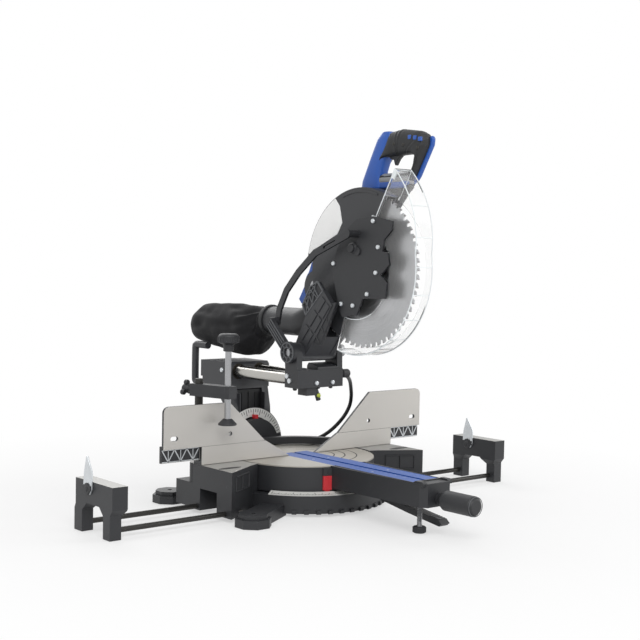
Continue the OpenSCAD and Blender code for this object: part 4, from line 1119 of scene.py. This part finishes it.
def wing_details(side_name, s):
    """The oval slot on a wing's top and the raised frame on its slanted front."""
    bm = bmesh.new()
    slab(bm, [(s * 222 + 26 * cosd(a), -54 + 7 * sind(a)) for a in range(0, 360, 15)], "z", 94.4, 95.25)
    piece(side_name + "_wing_slot", bm, nylon_black, "base")
    run = Vector((s * 85, -50, 0)).normalized()
    out = Vector((s * run.y, -abs(run.x), 0))
    start = Vector((s * 165, -50, 0))
    seats = [(start + run * 49 + UP * z, out, run, (62, 1, 1)) for z in (56, 84)]
    seats += [(start + run * t + UP * 70, out, UP, (28, 1, 1)) for t in (18, 49, 80)]
    set_out(side_name + "_wing_frame", rib(1.0, 3.0, 2.2), seats, cast_black, "base")


def fence_guide(side_name, s):
    """The lattice in the sliding fence's window, and the dark plate behind it."""
    face = low["left_sliding_fence"].y + 7
    x0, x1 = sorted((s * 252, s * 336))
    bm = bmesh.new()
    slab(bm, rectangle(x0, GUIDE_LOW - 1, x1, GUIDE_HIGH + 1), "y", face - 0.4, face + 0.4)
    for x in (x0, x1):
        strip(bm, (x, GUIDE_LOW - 1), (x, GUIDE_HIGH + 1), 2.0, "y", face - 0.7, face + 0.4)
    piece(side_name + "_fence_backing", bm, cast_black, side_name + "_fence")
    bm = bmesh.new()
    for z in (GUIDE_LOW, GUIDE_HIGH):
        strip(bm, (x0, z), (x1, z), 2.0, "y", face - 0.8, face)
    ends = [x0 + (x1 - x0) * k / GUIDE_BAYS for k in range(GUIDE_BAYS + 1)]
    for k in range(GUIDE_BAYS):
        z0, z1 = (GUIDE_LOW, GUIDE_HIGH) if k % 2 else (GUIDE_HIGH, GUIDE_LOW)
        strip(bm, (ends[k], z0), (ends[k + 1], z1), 2.2, "y", face - 0.8, face)
        if k % 2 == 0:
            strip(bm, (ends[k + 1], GUIDE_LOW), (ends[k + 1], GUIDE_HIGH), 1.6, "y", face - 0.8, face)
    piece(side_name + "_fence_lattice", bm, steel_zinc, side_name + "_fence")


def flag_boss(side_name):
    """The knob that a stop flag turns on, with its bar."""
    at = Vector((low[side_name + "_stop_flag"].x, -22, 81))
    bm = bmesh.new()
    turned(bm, [(11, 0.2), (11, 1.6), (9.5, 2.6), (5, 2.6), (4, 4.2), (0, 4.2)], at, LEFT, 28)
    strip(bm, (-36, 83), (-8, 83), 9, "x", at.x - 2.4, at.x + 0.2)
    piece(side_name + "_flag_boss", bm, nylon_black, side_name + "_flag", 0.5)


for side_name, s in (("left", -1), ("right", 1)):
    wing_details(side_name, s)
    fence_guide(side_name, s)
    flag_boss(side_name)


# CLAMP

# the clamp's arm runs this way from its post
arm_way = Vector((19, -70, 0)).normalized()
post = Vector((-231, 40, (low["clamp_arm"].z + high["clamp_arm"].z) / 2))
KNOB = [(3.6, -9.4), (3.6, -14.8), (7, -14.8), (7, -24), (9, -26), (9, -37), (7, -39), (0, -39)]
bm = bmesh.new()
turned(bm, KNOB, post, arm_way)
for a in (90, 210, 330):
    out = UP * sind(a) + arm_way.cross(UP) * cosd(a)
    turned(bm, [(4.4, -27), (5.6, -28.5), (5.6, -34.5), (4.4, -36), (0, -36)], post + out * 12, arm_way, 20)
    turned(bm, [(4.6, -27.5), (4.6, -35.5), (0, -35.5)], post + out * 6, arm_way, 20)
piece("wing_knob", bm, nylon_black, "clamp_wing", 0.5, ("clamp_wing_knob",))
pad_foot = (rod.x, rod.y, low["clamp_pad"].z)
bm = bmesh.new()
slab(bm, [(6, 2), (17, 2), (17, 4), (8, 12.5), (6, 12.5)], "y", -1.3, 1.3)
set_out("pad_gussets", bm, [(pad_foot, UP, Vector((cosd(a), sind(a), 0))) for a in range(20, 380, 60)],
        nylon_black, "clamp_spindle")
seats = on_circle((rod.x, rod.y, high["clamp_knob"].z - 11), "z", 19.6, range(0, 360, 20))
set_out("knob_ribs", rib(11.0, 3.0, 1.4, 0.8), [(p, f, UP) for p, f, _ in seats],
        nylon_black, "clamp_spindle")


# MOTOR, DRIVE AND BLADE

TEETH, TIP_R = 60, 149.4
end = high["motor_case"].x
seats = on_circle((end - 56, motor.y, motor.z), "x", 45.8, range(0, 360, 15))
set_out("motor_fins", rib(44.0, 2.4, 2.0, 1.0), [(p, f, RIGHT) for p, f, _ in seats],
        nylon_black, "head")
seats = on_circle((end, motor.y, motor.z), "x", 36, range(45, 405, 90))
set_out("motor_screws", pan_head(3.4, 2.2), [(p, RIGHT, UP) for p, _, _ in seats],
        steel_black, "head")
bm = bmesh.new()
turned(bm, [(24, -0.5), (24, 2), (21, 3.5), (12, 3.5), (11, 2.5), (0, 2.5)], (end, motor.y, motor.z), RIGHT)
piece("motor_end_cap", bm, nylon_black, "head", 0.5)
case = high["belt_case"].x
CASE_SCREWS = [(-33, 0), (0, 33), (0, -33), (70, 33), (70, -33)]
seats = [side_view(hub) + belt_run * t + belt_side * n for t, n in CASE_SCREWS]
set_out("case_screws", pan_head(3.6, 2.2), [((case, *p), RIGHT, UP) for p in seats],
        steel_black, "head")
bm = bmesh.new()
slab(bm, rectangle(0, -1.7, 2.6, 1.7), "y", -1.1, 1.1)
tips = []
for k in range(TEETH):
    out = FRONT * cosd(360 * k / TEETH) + UP * sind(360 * k / TEETH)
    tips.append(((0, hub.y + out.y * TIP_R, hub.z + out.z * TIP_R), RIGHT, out))
set_out("carbide_tips", bm, tips, carbide, "blade")


# DUST BAG

BAG_X = 20
# sections of the bag: place along it, height and radius
BAG_RINGS = [(128, 365, 30.4), (140, 364.5, 30.8), (160, 357, 36), (200, 343, 57), (285, 349, 54),
             (365, 352, 47), (398, 349, 37)]
# folds: angle, lean, depth, start and end
BAG_FOLDS = [(70, -35, 6.0, 150, 230), (115, 30, 6.0, 150, 225), (20, 25, 4.5, 160, 240),
             (200, -25, 6.5, 150, 245), (160, 15, 5.5, 165, 300), (250, 30, 4.0, 155, 225),
             (300, -30, 3.5, 160, 230), (90, 12, 3.5, 230, 385), (215, -10, 4.5, 250, 392),
             (150, -14, 3.5, 270, 397), (175, 20, 4.0, 320, 400), (190, 8, 4.0, 185, 290),
             (135, -24, 4.0, 175, 260)]


def bell(off, width):
    """1 at no distance, and less on both sides over some width."""
    return math.exp(-(off / width) ** 2)


def turn_from(a, at):
    """The shortest turn from one angle to another."""
    return (a - at + 180) % 360 - 180


def bag_point(y, z, r, a):
    """A point of the bag: round at its mouth, with folds out of the gathered neck and a belly that sags."""
    full = min(1.0, max(0.0, (y - 145) / 60))
    out = r
    out += 1.6 * (1 - full) * cosd(11 * a) * min(1.0, max(0.0, (y - 140) / 12))
    for at, lean, depth, y0, y1 in BAG_FOLDS:
        if y0 < y < y1:
            run = (y - y0) / (y1 - y0)
            off = turn_from(a - lean * run, at)
            out -= depth * math.sin(math.pi * run) * (bell(off, 9) - 0.7 * bell(off - 17, 10))
    out += 2.6 * full * noise.noise(Vector((y / 34, cosd(a) * 1.6, sind(a) * 1.6)))
    out += 3.0 * full * bell(turn_from(a, 100), 11)
    sag = 1 + full * (0.05 if sind(a) < 0 else -0.03)
    return Vector((BAG_X + out * cosd(a), y, z + out * sind(a) * sag))


def bag_mesh(name, rings=54, sides=72):
    """The bag as a skin over its sections, closed at its mouth and rounded at its end."""
    line, _ = smooth_line(BAG_RINGS, rings)
    bm = bmesh.new()
    turns = [360 * k / sides for k in range(sides)]
    loops = [[bm.verts.new(bag_point(y, z, r, a)) for a in turns] for y, z, r in line]
    y, z, r = line[-1]
    for step, shrink in ((3.0, 0.8), (4.6, 0.5), (5.4, 0.2)):
        loops.append([bm.verts.new(bag_point(y, z, r * shrink, a) + BACK * step) for a in turns])
    for a, b in zip(loops, loops[1:]):
        for k in range(sides):
            bm.faces.new((a[k], a[(k + 1) % sides], b[(k + 1) % sides], b[k]))
    pole = bm.verts.new((BAG_X, y + 5.6, z))
    for k in range(sides):
        bm.faces.new((loops[-1][k], loops[-1][(k + 1) % sides], pole))
    bm.faces.new(loops[0])
    mesh = mesh_from(name, bm, bag_cloth)
    for e in mesh.edges:
        e.use_edge_sharp = False
    return mesh


def settle_cloth(mesh, frames=20, cap=0.009):
    """Lets the filled bag sag and wrinkle as cloth held at its mouth, each point by a capped amount."""
    scene = bpy.context.scene
    o = bpy.data.objects.new("bag_cloth_trial", mesh.copy())
    scene.collection.objects.link(o)
    held = o.vertex_groups.new(name="held")
    held.add([v.index for v in mesh.vertices if v.co.y < 0.150], 1.0, "REPLACE")
    cloth = o.modifiers.new("cloth", "CLOTH").settings
    cloth.quality = 6
    cloth.mass = 0.25
    cloth.tension_stiffness = cloth.compression_stiffness = 12
    cloth.bending_stiffness = 0.15
    cloth.vertex_group_mass = "held"
    cloth.shrink_min = -0.05
    cloth.use_pressure = True
    cloth.uniform_pressure_force = 1.2
    cloth.effector_weights.gravity = 0.35
    for f in range(1, frames + 1):
        scene.frame_set(f)
    graph = bpy.context.evaluated_depsgraph_get()
    moved = [v.co.copy() for v in o.evaluated_get(graph).to_mesh().vertices]
    scene.frame_set(1)
    bpy.data.objects.remove(o)
    for v, p in zip(mesh.vertices, moved):
        step = p - v.co
        v.co += step * min(1.0, cap / max(1e-9, step.length))


bag = bag_mesh("dust_bag_cloth")
settle_cloth(bag)
bag = place("dust_bag_cloth", bag, "head", ("dust_bag",))
smooth = bag.modifiers.new("smooth_cloth", "SUBSURF")
smooth.levels = smooth.render_levels = 1
bm = bmesh.new()
band = [(30.2, -5), (32.6, -5), (33.2, -3), (33.2, 3), (32.6, 5), (30.2, 5)]
turned(bm, band, (BAG_X, 136, 364.5), BACK, 48)
piece("bag_mouth_band", bm, rubber_black, "head", 0.8)
